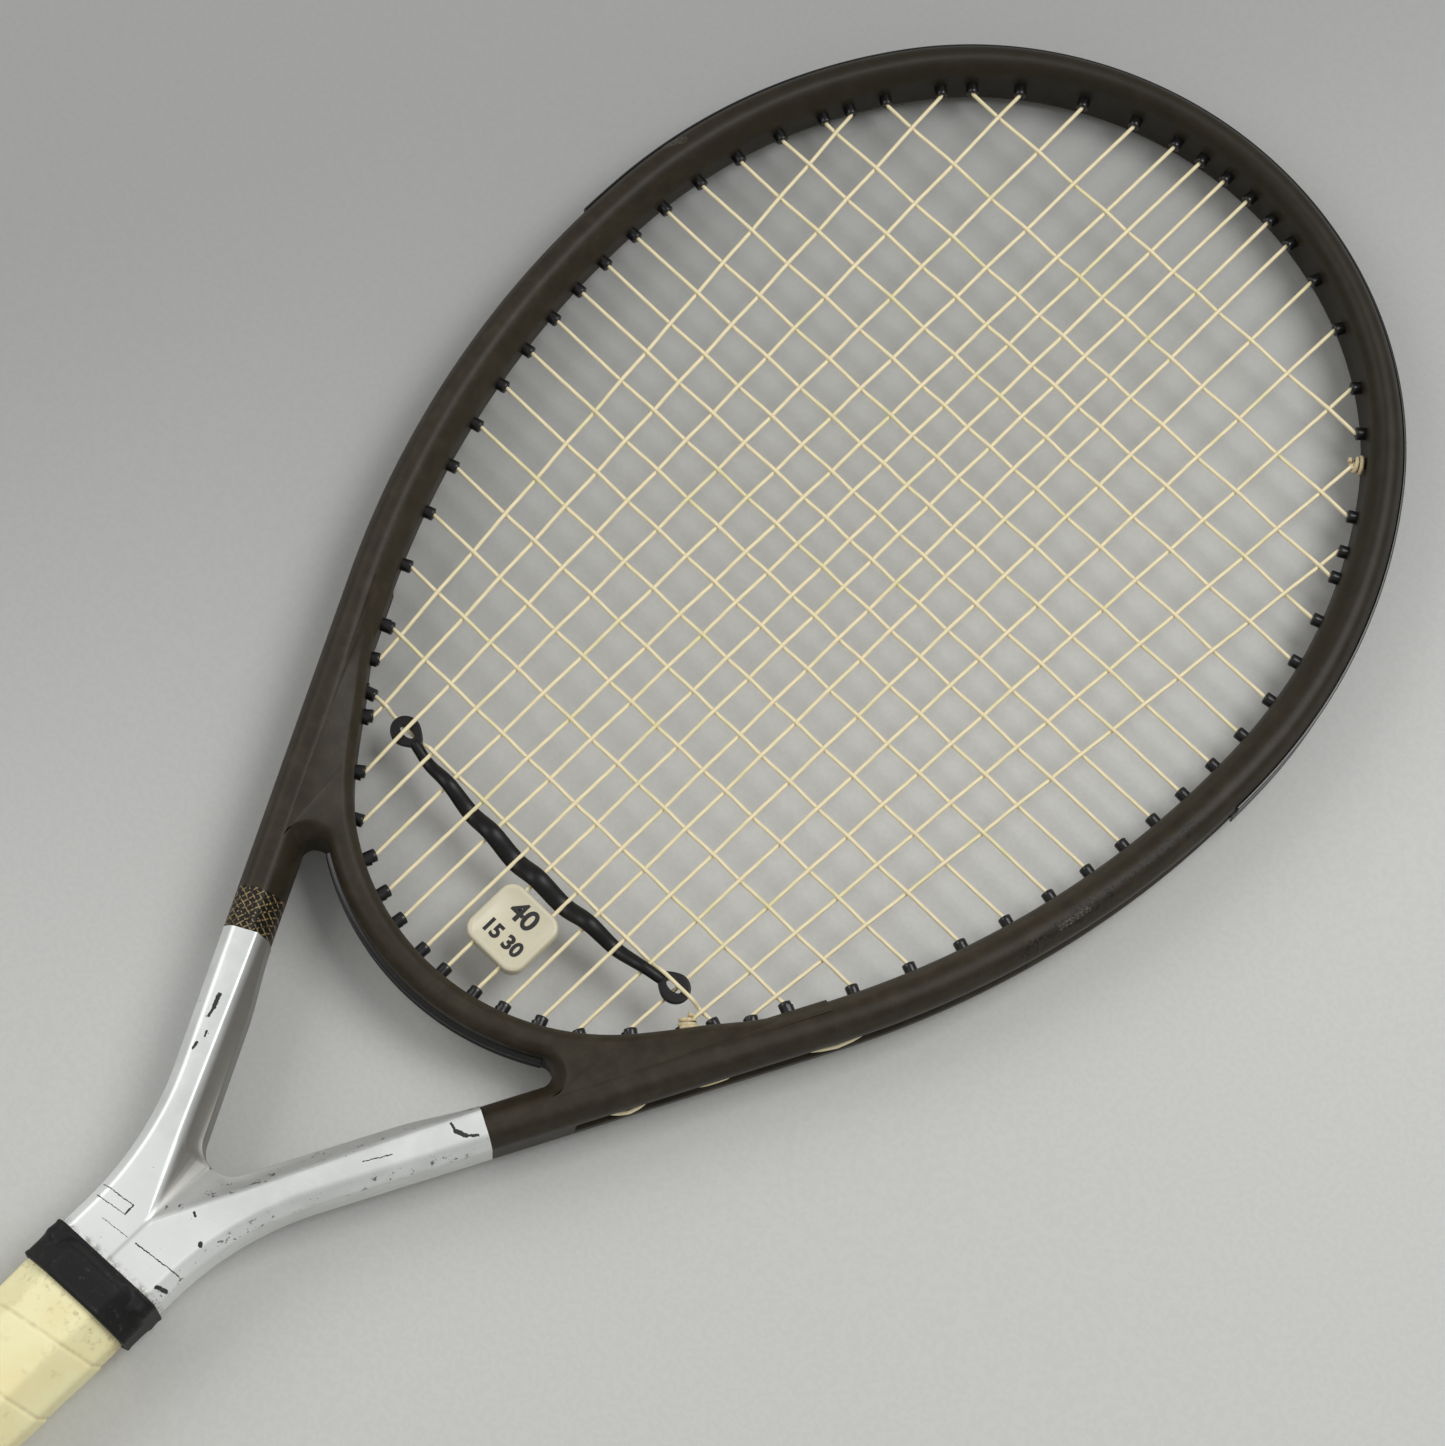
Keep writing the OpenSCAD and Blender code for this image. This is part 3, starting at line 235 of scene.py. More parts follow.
def hoop_at(heading, drop, offset):
    """Point of the hoop: its arc's centre plus the radius along the heading, then drop down the arm."""
    heading, drop, offset = np.broadcast_arrays(*(np.asarray(v, float) for v in (heading, drop, offset)))
    arc = (heading > PH1).astype(int) + (heading > PH2)
    return CENTRES[arc] + (RADII[arc] + offset)[..., None] * out_dir(heading) + drop[..., None] * run_dir(heading)


ARM_END = hoop_at(PH3, 0, 0)
N_ARM, RUN_ARM = out_dir(PH3), run_dir(PH3)


def station_y(y, offset):
    """(heading, drop) whose point at this offset has the given y, on one side."""
    for i, top in enumerate((PH1, PH2, PH3)):
        cosine = (y - CENTRES[i][1]) / (RADII[i] + offset)
        if cosine >= math.cos(math.radians(top)):
            return math.degrees(math.acos(cosine)), 0.0
    return PH3, float((hoop_at(PH3, 0, offset)[1] - y) / math.sin(math.radians(PH3)))


def station_x(x, offset):
    """(heading, drop) near the tip whose point at this offset has the given x."""
    heading = math.degrees(math.asin(x / (TIP_R + offset)))
    if heading <= PH1:
        return heading, 0.0
    return math.degrees(math.asin((x - C2[0]) / (SHOULDER_R + offset))), 0.0


# Stations round the whole hoop, from the left paint line over the tip to the right one
head_half = np.arange(0, PH3, HEAD_STEP)
HEADING = np.concatenate([np.full(LEFT_ROWS, PH3), -np.arange(-PH3, 0, HEAD_STEP), head_half,
                          np.full(RIGHT_ROWS, PH3)])
DROP = np.concatenate([np.linspace(LEFT_ARM, 3, LEFT_ROWS), np.zeros(2 * len(head_half)),
                       np.linspace(3, RIGHT_ARM, RIGHT_ROWS)])
SIDE = np.repeat([-1.0, 1.0], [LEFT_ROWS + len(head_half), len(head_half) + RIGHT_ROWS])


def carry(section, heading, drop, side):
    """Carries sections (stations, k, 2) of [offset, height] along the hoop."""
    flat = hoop_at(heading[:, None], drop[:, None], section[..., 0])
    return points(flat[..., 0] * side[:, None], flat[..., 1], section[..., 1])


def tipward(heading):
    """1 over the tip, falling to 0 at the widest part of the hoop."""
    return 1 - smoothstep((heading - 30) / 60)


def hoop_width(heading):
    """Distance between the outer and the inner wall."""
    return blend(HEAD_W, TIP_W, tipward(heading))


# ---------------------------------------------------------------- string and grommet places
MOUTH = -HOOP_W - BARREL_OUT
LANE = STRING_RISE - CHANNEL_D
CROSS_Y = FIRST_CROSS_Y - np.concatenate([[0], np.cumsum(CROSS_GAP)])
BRIDGE_C = np.array([0, THROAT_Y + BRIDGE_R])
R_THROAT = BRIDGE_R + BRIDGE_W
R_MOUTH = BRIDGE_R - BARREL_OUT
BRIDGE_LANE = R_THROAT - BRIDGE_CHANNEL + STRING_RISE


def down_dir(th):
    """Unit vector at an angle from straight down, positive to the right."""
    return out_dir(th) * [1, -1]


def bridge_pt(th, r):
    """Point of the bridge at an angle and a radius about its centre."""
    return BRIDGE_C + np.asarray(r)[..., None] * down_dir(th)


# The flatter arc of the bridge, which leaves the ring at BRIDGE_TURN and touches the arm's inner wall
WALL_PT = hoop_at(PH3, 0, -HOOP_W)
TURN_PT = bridge_pt(BRIDGE_TURN, BRIDGE_R)
R_FLAT = float(N_ARM @ (WALL_PT - TURN_PT) / (1 - N_ARM @ down_dir(BRIDGE_TURN)))
C_FLAT = TURN_PT - R_FLAT * down_dir(BRIDGE_TURN)
TOUCH_D = float((C_FLAT - WALL_PT) @ RUN_ARM)

# A grommet hole: its mouth, the direction out of the bed, its length and its station on the hoop or the bridge
Hole = namedtuple("Hole", "mouth out length station")


def hoop_hole(station, mouth=MOUTH):
    """Grommet hole square to the hoop, with its mouth at an offset."""
    heading, drop = station
    return Hole(hoop_at(heading, drop, mouth), out_dir(heading), LANE - mouth, station)


def throat_hole(k):
    """Grommet hole at the throat end of main k."""
    x = MAIN_THROAT_X[k]
    if k == LAST_MAIN:
        return hoop_hole(station_y(OUTER_MAIN_Y, MOUTH))
    th = math.degrees(math.asin(x / R_MOUTH))
    mouth = bridge_pt(th, R_MOUTH)
    if k < RING_MAINS:
        return Hole(mouth, down_dir(th), BRIDGE_LANE - R_MOUTH, (th, 0.0))
    if th > BRIDGE_TURN:
        r = R_FLAT - BARREL_OUT
        mouth = C_FLAT + r * down_dir(math.degrees(math.asin((x - C_FLAT[0]) / r)))
    depth = float(N_ARM @ (ARM_END - mouth))
    return Hole(mouth, N_ARM, depth + LANE, (PH3, float((mouth - ARM_END) @ RUN_ARM)))


def to3(p, side=1, z=0.0):
    """A point of the right side put at a height, or mirrored to the left."""
    return [side * float(p[0]), float(p[1]), float(z)]


def stand_clear(hole, along, centre, radius, stand, most):
    """The hole with its mouth slid along its string, until the barrel stands out of a round wall. The barrel
    keeps its root, so it leans a little along its string."""
    ray = hole.mouth - centre
    short = max(0.0, stand - (radius - np.linalg.norm(ray)))
    mouth = hole.mouth + min(most, short / -float(along @ unit(ray))) * along
    root = hole.mouth + BARREL_ROOT * hole.out
    length = hole.length + np.linalg.norm(root - mouth) - BARREL_ROOT
    return Hole(mouth, unit(root - mouth), length, hole.station)


def clear_throat_hole(k):
    """Throat hole of main k, whose barrel stands out of the bridge."""
    hole = throat_hole(k)
    along = unit(hoop_at(*station_x(MAIN_TIP_X[k], MOUTH), MOUTH) - hole.mouth)
    wall = (BRIDGE_C, BRIDGE_R, BRIDGE_STAND) if k < RING_MAINS else (C_FLAT, R_FLAT, BARREL_STAND)
    return stand_clear(hole, along, *wall, MOST_SLID_LAST_MAIN if k == LAST_MAIN else MOST_SLID)


THROAT_HOLES = [clear_throat_hole(k) for k in range(MAINS)]


def barrel_mouth(heading):
    """Offset of a barrel's end, a fixed stand out of the inner wall."""
    return float(-hoop_width(heading) - BARREL_STAND)


def cross_hole(y):
    """Hole whose mouth lies on the cross's line, found by stepping from the arms' mouth offset."""
    mouth = MOUTH
    for _ in range(4):
        mouth = barrel_mouth(station_y(y, mouth)[0])
    hole = hoop_hole(station_y(y, mouth), mouth)
    if y >= ARM_END[1]:
        return hole
    return stand_clear(hole, np.array([-1.0, 0.0]), C_FLAT, R_FLAT, BARREL_STAND, MOST_SLID_CROSS)


def tip_hole(k):
    """Hole whose mouth lies on the main's line, which runs from its throat mouth."""
    x, mouth = MAIN_TIP_X[k], MOUTH
    foot, top = THROAT_HOLES[k].mouth, hoop_at(*station_x(x, mouth), mouth)
    for _ in range(5):
        station = station_x(x, mouth)
        mouth = barrel_mouth(station[0])
        x = foot[0] + (top[0] - foot[0]) * (hoop_at(*station, mouth)[1] - foot[1]) / (top[1] - foot[1])
    return hoop_hole(station, mouth)


CROSS_HOLES = [cross_hole(y) for y in CROSS_Y]
TIP_HOLES = [tip_hole(k) for k in range(MAINS)]
# The bumper ends half way between crosses 7 and 8, and the hoop's channel beyond main 4
BUMPER_END = (CROSS_HOLES[7].station[0] + CROSS_HOLES[8].station[0]) / 2
CHANNEL_END = THROAT_HOLES[RING_MAINS].station[1] + 7


# ---------------------------------------------------------------- hoop
def hoop_section(channel, width, tip, arm):
    """Closed section of the hoop with rounded edges. channel deepens the string channel, width is the
    distance between the walls, tip makes the inner wall taller and arm the facet's edge crisper."""
    rows = [(-CHANNEL_D * channel, CHANNEL_W), (0, CHANNEL_W), (0, OUTER_WALL), (-OUTER_BEVEL, HALF_H - FACET_FALL),
            (INNER_BEVEL - 2.0 * tip - width, HALF_H), (-width, blend(INNER_WALL, TIP_WALL, tip))]
    upper = np.stack([points(u + 0 * width, z) for u, z in rows], 1)
    return fillets(both_faces(upper), points(0.2, 0.5, 1.6, 2.2, 3.6 - 1.6 * arm, 3.0), 7)


def make_hoop():
    """The hoop's section carried round the outline; the string channel fades out on both arms, and the
    wall thickens from the head to the arms."""
    channel = np.where(DROP > 0, 1 - smoothstep((DROP - CHANNEL_END) / CHANNEL_RUN), 1.0)
    arm = smoothstep(DROP / ARM_RUN)
    width = hoop_width(HEADING) + (HOOP_W - HEAD_W) * arm
    section = hoop_section(channel, width, tipward(HEADING), arm)
    return loft("hoop_shell", carry(section, HEADING, DROP, SIDE), 50)


hoop = make_hoop()
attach(hoop, "racket")
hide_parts("head_hoop")


def make_bumper():
    """Bumper guard over the tip: a band on the outer wall and a trough for the string in the channel."""
    heading = np.linspace(-BUMPER_END, BUMPER_END, 260)
    deep, base = 0.2 - CHANNEL_D, 1.0 - CHANNEL_D
    section = both_faces(np.array([[base, 2.55], [0.85, 2.7], [1.0, 2.9], [1.0, 6.5], [0.85, 6.9], [0.6, 7.0],
                                   [0.25, 7.0], [0.2, 3.45], [deep, 3.4]]))
    side = np.where(heading < 0, -1.0, 1.0)
    return loft("bumper_band", carry(section[None], np.abs(heading), 0 * heading, side), 40)


bumper = make_bumper()
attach(bumper, "racket")
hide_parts("bumper_guard")


# ---------------------------------------------------------------- bridge
def make_bridge():
    """A strip of sections between the string side and the throat side, with n1 along the arm, n2 round the
    corner and n3 on the ring. The string side is a circle, then a flatter one that runs out along the arm.
    Along the arm the outer rail lies just under the hoop's facet edge, and towards the tip the whole top comes
    down onto the hoop's bevel."""
    corner_th = math.degrees(math.asin((N_ARM @ (WALL_PT - BRIDGE_C) - CORNER_R) / (R_THROAT + CORNER_R))) - ARM_TILT
    corner = bridge_pt(corner_th, R_THROAT + CORNER_R)
    tip_run = 3.0
    tip_th = 90 - ARM_TILT - math.degrees(math.asin(tip_run / R_FLAT))
    n1, n2, n3 = 44, 30, 34
    t1, t2, t3 = np.linspace(0, 1, n1), np.linspace(0, 1, n2)[1:], np.linspace(0, 1, n3)[1:]
    ring_th = corner_th * (1 - t3)
    th = np.concatenate([blend(tip_th, BRIDGE_TURN, t1), blend(BRIDGE_TURN, corner_th, t2), ring_th])
    down = blend(TOUCH_D + tip_run, float((corner - ARM_END) @ RUN_ARM), t1)
    far = down - down[0]
    # From the hoop's own edges, as [inset, height], to the bridge's
    turned = np.concatenate([0 * t1, smoothstep(t2), 1 + 0 * t3])
    edge_inset, edge_z = blend(RAIL_INSET, BRIDGE_BEVEL, turned), blend(HALF_H - RAIL_FALL, BRIDGE_H, turned)
    wall_inset, wall_z = 0.35 * (1 - turned), blend(INNER_WALL - 0.2, BRIDGE_H - BRIDGE_BEVEL, turned)
    a = np.radians(blend(-ARM_TILT, 90 + corner_th, t2))

    def string_side(inset):
        flat = C_FLAT + (R_FLAT + inset)[:, None] * down_dir(th)
        return np.where((th <= BRIDGE_TURN)[:, None], bridge_pt(th, BRIDGE_R + inset), flat)

    def throat_side(inset):
        on_arm, on_corner, on_ring = np.split(inset, [n1, len(inset) - len(t3)])
        return np.concatenate([hoop_at(PH3, down, on_arm - HOOP_W),
                               corner + (CORNER_R + on_corner)[:, None] * points(np.cos(a), np.sin(a)),
                               bridge_pt(ring_th, R_THROAT - on_ring)])

    def along_arm(values, rest):
        return np.append(values, np.full(len(th) - n1, rest))

    sunk = along_arm((HOOP_W - HEAD_W + 0.15) * (1 - smoothstep(far / BRIDGE_RUN))
                     + smoothstep((far - 2) / 14) * (1 - smoothstep((far - 34) / 26)), 0.0)
    rise = along_arm(smoothstep((far - 8) / RISE_RUN), 1.0)
    # The throat side carries the string channel over the middle
    wall = throat_side(wall_inset)
    channel = smoothstep((BRIDGE_CHANNEL_X - wall[:, :1]) / CHANNEL_RUN)
    floor = blend(wall, throat_side(wall_inset + BRIDGE_CHANNEL), channel)
    rows = [(string_side(sunk), blend(INNER_WALL, BRIDGE_H - 1.3 * BRIDGE_BEVEL, rise)),
            (string_side(sunk + BRIDGE_BEVEL), blend(TIP_EDGE_Z, BRIDGE_H, rise)),
            (throat_side(edge_inset), edge_z), (wall, wall_z), (wall, CHANNEL_W), (floor, CHANNEL_W)]
    upper = np.stack([raised(flat, z) for flat, z in rows], 1)
    half = fillets(both_faces(upper), [1.5, 1.6, 1.4, 1.4, 0.3, 0.15])
    return loft("throat_bridge_shell", np.concatenate([half[:-1], half[::-1] * [-1, 1, 1]]), 50)


bridge = make_bridge()
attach(bridge, "racket")
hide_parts("throat_bridge")


def make_strip_lips():
    """Throat strip's trough: a base between two lips that hide the string, carried along the bridge."""
    end = math.degrees(math.asin(MAIN_THROAT_X[RING_MAINS - 1] / R_MOUTH)) + 3
    deep, base, lip = R_THROAT - 2.1, R_THROAT - 1.1, R_THROAT + 1.4
    section = both_faces(np.array([[base, 1.4], [lip - 0.3, 1.8], [lip, 2.0], [lip, 2.6], [lip - 0.3, 2.8],
                                   [R_THROAT, 3.3], [deep, 3.35]]))
    flat = bridge_pt(np.linspace(-end, end, 110)[:, None], section[:, 0])
    return loft("throat_strip_lips", raised(flat, section[:, 1]), 40)


lips = make_strip_lips()
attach(lips, "racket")


def make_barrels():
    """Grommet barrels that stand out of the inner wall: each a short tube with a rounded rim and an open bore,
    the section of [radius, depth] revolved about its hole."""
    holes = [(h, s) for s in (-1, 1) for h in THROAT_HOLES + CROSS_HOLES + TIP_HOLES]
    mouth, axis = (np.array(v)[:, None, None] for v in zip(*[(to3(h.mouth, s), to3(h.out, s)) for h, s in holes]))
    up = [0, 0, 1]
    section = np.array([[0.8, 2.6], [0.8, 0.1], [1.0, -0.15], [1.55, -0.2], [1.95, -0.05], [2.08, 0.3], [2.04, 1.2],
                        [2.0, 3.2], [2.0, 6.2], [0.8, 6.2]])
    r, q = section[:, :1], circle(24)
    rings = (mouth + section[:, 1, None, None] * axis + (r * np.cos(q))[..., None] * np.cross(axis, up)
             + (r * np.sin(q))[..., None] * up)
    n, m, k, _ = rings.shape
    faces = grid_faces(m, k, close_rows=True) + (np.arange(n) * m * k)[:, None, None]
    return solid("grommet_barrels", rings.reshape(-1, 3), faces.reshape(-1, 4).tolist(), 50)


barrels = make_barrels()
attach(barrels, "racket")


# ---------------------------------------------------------------- yoke
def yoke_rail(arm_d):
    """Outer edge of one arm: straight, then the flare's arc, then the shaft's side. Gives points and tilts."""
    tilt = math.radians(ARM_TILT)
    past = ARM_END[0] - SHAFT_HW
    flare = FLARE_R * math.tan(tilt / 2)
    d = np.linspace(arm_d, past / math.sin(tilt) - flare, 60)[:-1]
    a = np.linspace(ARM_TILT, 0, 60)
    centre = np.array([SHAFT_HW + FLARE_R, ARM_END[1] - past / math.tan(tilt) - flare])
    arc = centre + FLARE_R * points(-np.cos(np.radians(a)), np.sin(np.radians(a)))
    shaft = points(SHAFT_HW, np.linspace(arc[-1, 1], SHAFT_Y, 8)[1:])
    rail = np.concatenate([ARM_END + d[:, None] * RUN_ARM, arc, shaft])
    return rail, np.concatenate([np.full(len(d), ARM_TILT), a, np.zeros(len(shaft))])


def make_yoke_half(name, arm_d, side):
    """Sections square to the rail. Each reaches the throat opening, or the axis below the crotch, and its
    top falls from the ridge into the V recess."""
    p, tilt = yoke_rail(arm_d)
    y, a = p[:, 1], np.radians(tilt)
    w = points(-np.cos(a), np.sin(a))
    # Distance along each section to the opening's straight wall, to its round crotch and to the axis
    crotch = np.array([0, CROTCH_Y + CROTCH_R])
    arm_w = float(N_ARM @ (ARM_END - crotch) - CROTCH_R)
    width = blend(HOOP_W, arm_w, smoothstep(((p - ARM_END) @ RUN_ARM - arm_d) / WIDEN_RUN))
    to_wall = (-width - (p - ARM_END) @ N_ARM) / (w @ N_ARM)
    on_wall = (p + to_wall[:, None] * w - ARM_END) @ RUN_ARM < (crotch - ARM_END) @ RUN_ARM
    q = crotch - p
    m = (q * w).sum(-1)
    h2 = CROTCH_R ** 2 - (q * q).sum(-1) + m * m
    to_round = np.where(h2 > 0, m - np.sqrt(np.maximum(h2, 0)), np.inf)
    opening = np.where(on_wall, to_wall, to_round)
    axis = p[:, 0] / -w[:, 0]
    joined = axis <= opening
    deep = np.where(joined, axis, opening)
    # The ridge where the fall into the V starts
    slope = math.tan(math.radians(ARM_TILT)) * RIDGE_SLOPE
    ridge = (slope * (y - RECESS_Y) - p[:, 0]) / (w[:, 0] - slope * w[:, 1])
    crest = np.minimum(np.maximum(HOOP_W - INNER_BEVEL, ridge), deep - LEAST_FALL)
    fall = np.clip(np.where(joined, (y + axis * w[:, 1] - RECESS_Y) / (CROTCH_Y - RECESS_Y), 1.0), 0, 1)
    sink = INNER_WALL - HALF_H
    low = sink * fall ** FALL_POWER
    # The valley's floor is level across the axis, and its sides steepen towards the ridge; up the arms the
    # slope turns into a plain bevel
    curl = 1 - smoothstep((y - y[~joined].min()) / CURL_RUN)
    steep = low * (1 + 1.1 * curl)
    along = sink * FALL_POWER * fall ** (FALL_POWER - 1) / (CROTCH_Y - RECESS_Y) * w[:, 1] * (deep - crest)
    level = np.where(joined, along, low * (1 - 0.8 * curl))
    facet = HALF_H - FACET_FALL * smoothstep((y - RECESS_Y) / FACET_RUN)
    cols = [(0, OUTER_WALL), (OUTER_BEVEL, facet), (crest, HALF_H)]
    for t in (0.15, 0.3, 0.45, 0.6, 0.75, 0.88, 1.0):
        z = HALF_H + steep * (t ** 3 - 2 * t ** 2 + t) + low * (3 * t ** 2 - 2 * t ** 3) + level * (t ** 3 - t ** 2)
        cols.append((blend(crest, deep, t), z))
    upper = np.stack([raised(p + np.reshape(u, (-1, 1)) * w, z) for u, z in cols], 1)
    rings = fillets(both_faces(upper), points(1.3, 1.5, 1.3, *[0.3] * 6, np.where(joined, 0.0, 2.2)))
    reach = ((rings[..., :2] - p[:, None]) * w[:, None]).sum(-1)
    rings[..., 0] = np.maximum(rings[..., 0], 0)
    # The slope attribute marks the fall into the V, which the silver finish darkens with painted shade
    return loft(name, rings * [side, 1, 1], 60, attributes={"slope": smoothstep((reach - crest[:, None]) / 2.0)})


yoke_right = make_yoke_half("yoke_right", RIGHT_ARM, 1)
yoke_left = make_yoke_half("yoke_left", LEFT_ARM, -1)
for half in (yoke_right, yoke_left):
    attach(half, "racket")
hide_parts("throat_yoke")


# ---------------------------------------------------------------- string
def along_wall(hole):
    """Unit vector along the wall at a hole."""
    return np.array([-hole.out[1], hole.out[0]])


def in_hole(hole, side, shift=0.0):
    """Point in a grommet, just short of the channel."""
    return to3(hole.mouth + shift * along_wall(hole) + (hole.length - TURN_SHORT) * hole.out, side)


def between(a, b, side, z, steps, bulge=0.0):
    """Points in the channel between two holes: each step is a share of the way and a part of z and bulge."""
    start, end = np.array(a.station), np.array(b.station)
    return [to3(hoop_at(*blend(start, end, share), LANE + bulge * part), side, z * part) for share, part in steps]


def lane(a, b, side, z):
    """Loop in the channel from one hole to the next, off the middle where it passes another hole."""
    if z:
        loop = between(a, b, side, z, [(0.12, 0.6), (0.33, 1), (0.67, 1), (0.88, 0.6)])
    else:
        bulge = BULGE * float(smoothstep((BULGE_Y - (a.mouth[1] + b.mouth[1]) / 2) / BULGE_RUN))
        loop = between(a, b, side, z, [(0.1, 0), (0.27, 0.6), (0.5, 1), (0.73, 0.6), (0.9, 0)], bulge)
    return [in_hole(a, side)] + loop + [in_hole(b, side)]


def bridge_lane(a, b, side):
    """Loop along the throat side of the bridge."""
    loop = [to3(bridge_pt(blend(a.station[0], b.station[0], f), BRIDGE_LANE), side) for f in (0.12, 0.5, 0.88)]
    return [in_hole(a, side)] + loop + [in_hole(b, side)]


def knot_entry(hole, z):
    """Last run of the string: out of the channel and into the hole that it shares."""
    t, out = TIE_GAP * along_wall(hole), hole.out
    return [to3(hole.mouth - 1.9 * t + hole.length * out, 1, 0.3 * z), in_hole(hole, 1, -TIE_GAP),
            to3(hole.mouth - t - 1.5 * out)]


def numbered(num):
    """Index from the centre and side of main num, counted 1 to 16 from the left."""
    return (MAINS - num, -1) if num <= MAINS else (num - MAINS - 1, 1)


def over(j, k, side):
    """1 where cross j passes over main k of a side, -1 where it passes under."""
    num = MAINS - k if side < 0 else MAINS + 1 + k
    return 1 if (j + 1 + num) % 2 else -1


def main_x(k, y):
    """Where main k is at a height."""
    a, b = THROAT_HOLES[k].mouth, TIP_HOLES[k].mouth
    return a[0] + (b[0] - a[0]) * (y - a[1]) / (b[1] - a[1])


def clear_main(j, k):
    """Whether cross j meets main k clear of both ends."""
    y = CROSS_Y[j]
    between_ends = THROAT_HOLES[k].mouth[1] + 1 < y < TIP_HOLES[k].mouth[1] - 1
    return between_ends and main_x(k, y) < CROSS_HOLES[j].mouth[0] - CLEAR_HOLE


def main_run(k, side):
    """Main k from the tip down, woven through the crosses."""
    return [[side * main_x(k, y), y, -WEAVE * over(j, k, side)] for j, y in enumerate(CROSS_Y) if clear_main(j, k)]


def main_side(side):
    """Mains of one side from the centre outwards: down the first, up the next, and so on."""
    route = [to3(TIP_HOLES[0].mouth, side)] + main_run(0, side) + [to3(THROAT_HOLES[0].mouth, side)]
    for k in range(1, MAINS):
        up = k % 2 == 1
        near, far = (THROAT_HOLES, TIP_HOLES) if up else (TIP_HOLES, THROAT_HOLES)
        z = {LAST_MAIN: LANE_Z, TIE_MAIN: -side * LANE_Z}.get(k, 0)
        on_ring = up and k < RING_MAINS
        route += bridge_lane(near[k - 1], near[k], side) if on_ring else lane(near[k - 1], near[k], side, z)
        route += [to3(near[k].mouth, side)] + main_run(k, side)[::-1 if up else 1] + [to3(far[k].mouth, side)]
    return route


def past_eyelet(k, side, y):
    """Points of the last cross, from left to right, over or under the dampener's eyelet on main k."""
    x, reach, clear = side * main_x(k, y), EYELET_R + 0.7, EYELET_Z + EYELET_T / 2 + 0.4
    before, after = (side * main_x(k + step, y) for step in (-side, side))
    steps = [(before + 1.5, -WEAVE), (x - reach, clear), (x + reach, clear), (after - 1.5, -WEAVE)]
    return [[u, y, side * z] for u, z in steps]


def cross_run(j):
    """Crossings of cross j from left to right, over and under the mains by turns."""
    y, run = CROSS_Y[j], []
    for k, side in map(numbered, range(1, 2 * MAINS + 1)):
        if j == LAST_CROSS and k == DAMPER_MAIN:
            run += past_eyelet(k, side, y)
        elif clear_main(j, k):
            run.append([side * main_x(k, y), y, WEAVE * over(j, k, side)])
    return run


def string_route():
    """The whole string: tip loop, right mains and knot; left mains, then all crosses and the other knot."""
    first_tip, last_tip, tie_tip = TIP_HOLES[0], TIP_HOLES[LAST_MAIN], TIP_HOLES[TIE_MAIN]
    first_cross, last_cross, tie_throat = CROSS_HOLES[0], CROSS_HOLES[LAST_CROSS], THROAT_HOLES[TIE_MAIN]
    left = main_side(-1) + [in_hole(last_tip, -1)] + between(
        last_tip, first_cross, -1, LANE_Z, [(0.12, 0.6), (0.33, 1), (0.5, 1)])
    crest = hoop_at(0.7 * first_tip.station[0], 0, LANE)
    tip = [in_hole(first_tip, -1), to3(crest, -1), to3(crest), in_hole(first_tip, 1)]
    right = main_side(1) + [in_hole(last_tip, 1)] + between(
        last_tip, tie_tip, 1, -LANE_Z, [(0.12, 0.6), (0.33, 1), (0.62, 1)]) + knot_entry(tie_tip, -LANE_Z)
    crosses = between(last_tip, first_cross, -1, LANE_Z, [(0.8, 0.8), (0.94, 0.4)]) + [in_hole(first_cross, -1)]
    for j, hole in enumerate(CROSS_HOLES):
        side = -1 if j % 2 else 1
        crosses += [to3(hole.mouth, -side)] + cross_run(j)[::side] + [to3(hole.mouth, side)]
        if j < LAST_CROSS:
            z = {0: LANE_Z, 1: -LANE_Z, LAST_CROSS - 1: -LANE_Z}.get(j, 0)
            crosses += lane(hole, CROSS_HOLES[j + 1], side, z)
    crosses += [in_hole(last_cross, 1)] + between(
        last_cross, tie_throat, 1, -LANE_Z, [(0.2, 0.6), (0.6, 1), (1, 1)]) + knot_entry(tie_throat, -LANE_Z)
    return np.array(crosses[::-1] + left[::-1] + tip + right)


def resample(route, step, bend, turn_bend=0.8):
    """Points along a route about a step apart. A corner is rounded by a curve whose ends lie a bend away where
    the string weaves and a turn_bend away where it turns into a grommet; between them it is straight."""
    way = np.diff(route, axis=0)
    length = np.linalg.norm(way, axis=1)
    corner = route[1:-1]
    most = np.where(np.abs(corner[:, 2]) > 0.3, bend, turn_bend)
    cut = np.minimum(most, 0.45 * np.minimum(length[:-1], length[1:]))[:, None]
    start, end = corner - cut * unit(way[:-1]), corner + cut * unit(way[1:])
    arcs = bent(start[:, None], corner[:, None], end[:, None], np.linspace(0, 1, 6)[:, None])
    line = np.concatenate([route[:1], arcs.reshape(-1, 3), route[-1:]])
    line = line[np.append(True, np.linalg.norm(np.diff(line, axis=0), axis=1) > 0.02)]
    run = np.append(0, np.cumsum(np.linalg.norm(np.diff(line, axis=0), axis=1)))
    # Long straight runs get points of their own
    at = np.unique(np.append(run, np.arange(0, run[-1], step)))
    at = at[np.append(True, np.diff(at) > 0.15)]
    return points(*(np.interp(at, run, line[:, i]) for i in range(3))), at


def tube(name, line, radius, sides, attributes=None, tall=None):
    """A tube along a line, round or with its own half height: its side is the tangent crossed with straight up."""
    tangent = unit(np.gradient(line, axis=0))
    side = unit(np.cross(tangent, [0, 0, 1]))
    q = circle(sides)[:, None]
    wide, tall = (np.broadcast_to(v, len(line))[:, None, None] for v in (radius, radius if tall is None else tall))
    rings = line[:, None] + wide * np.cos(q) * side[:, None] + tall * np.sin(q) * np.cross(side, tangent)[:, None]
    return loft(name, rings, attributes=attributes)


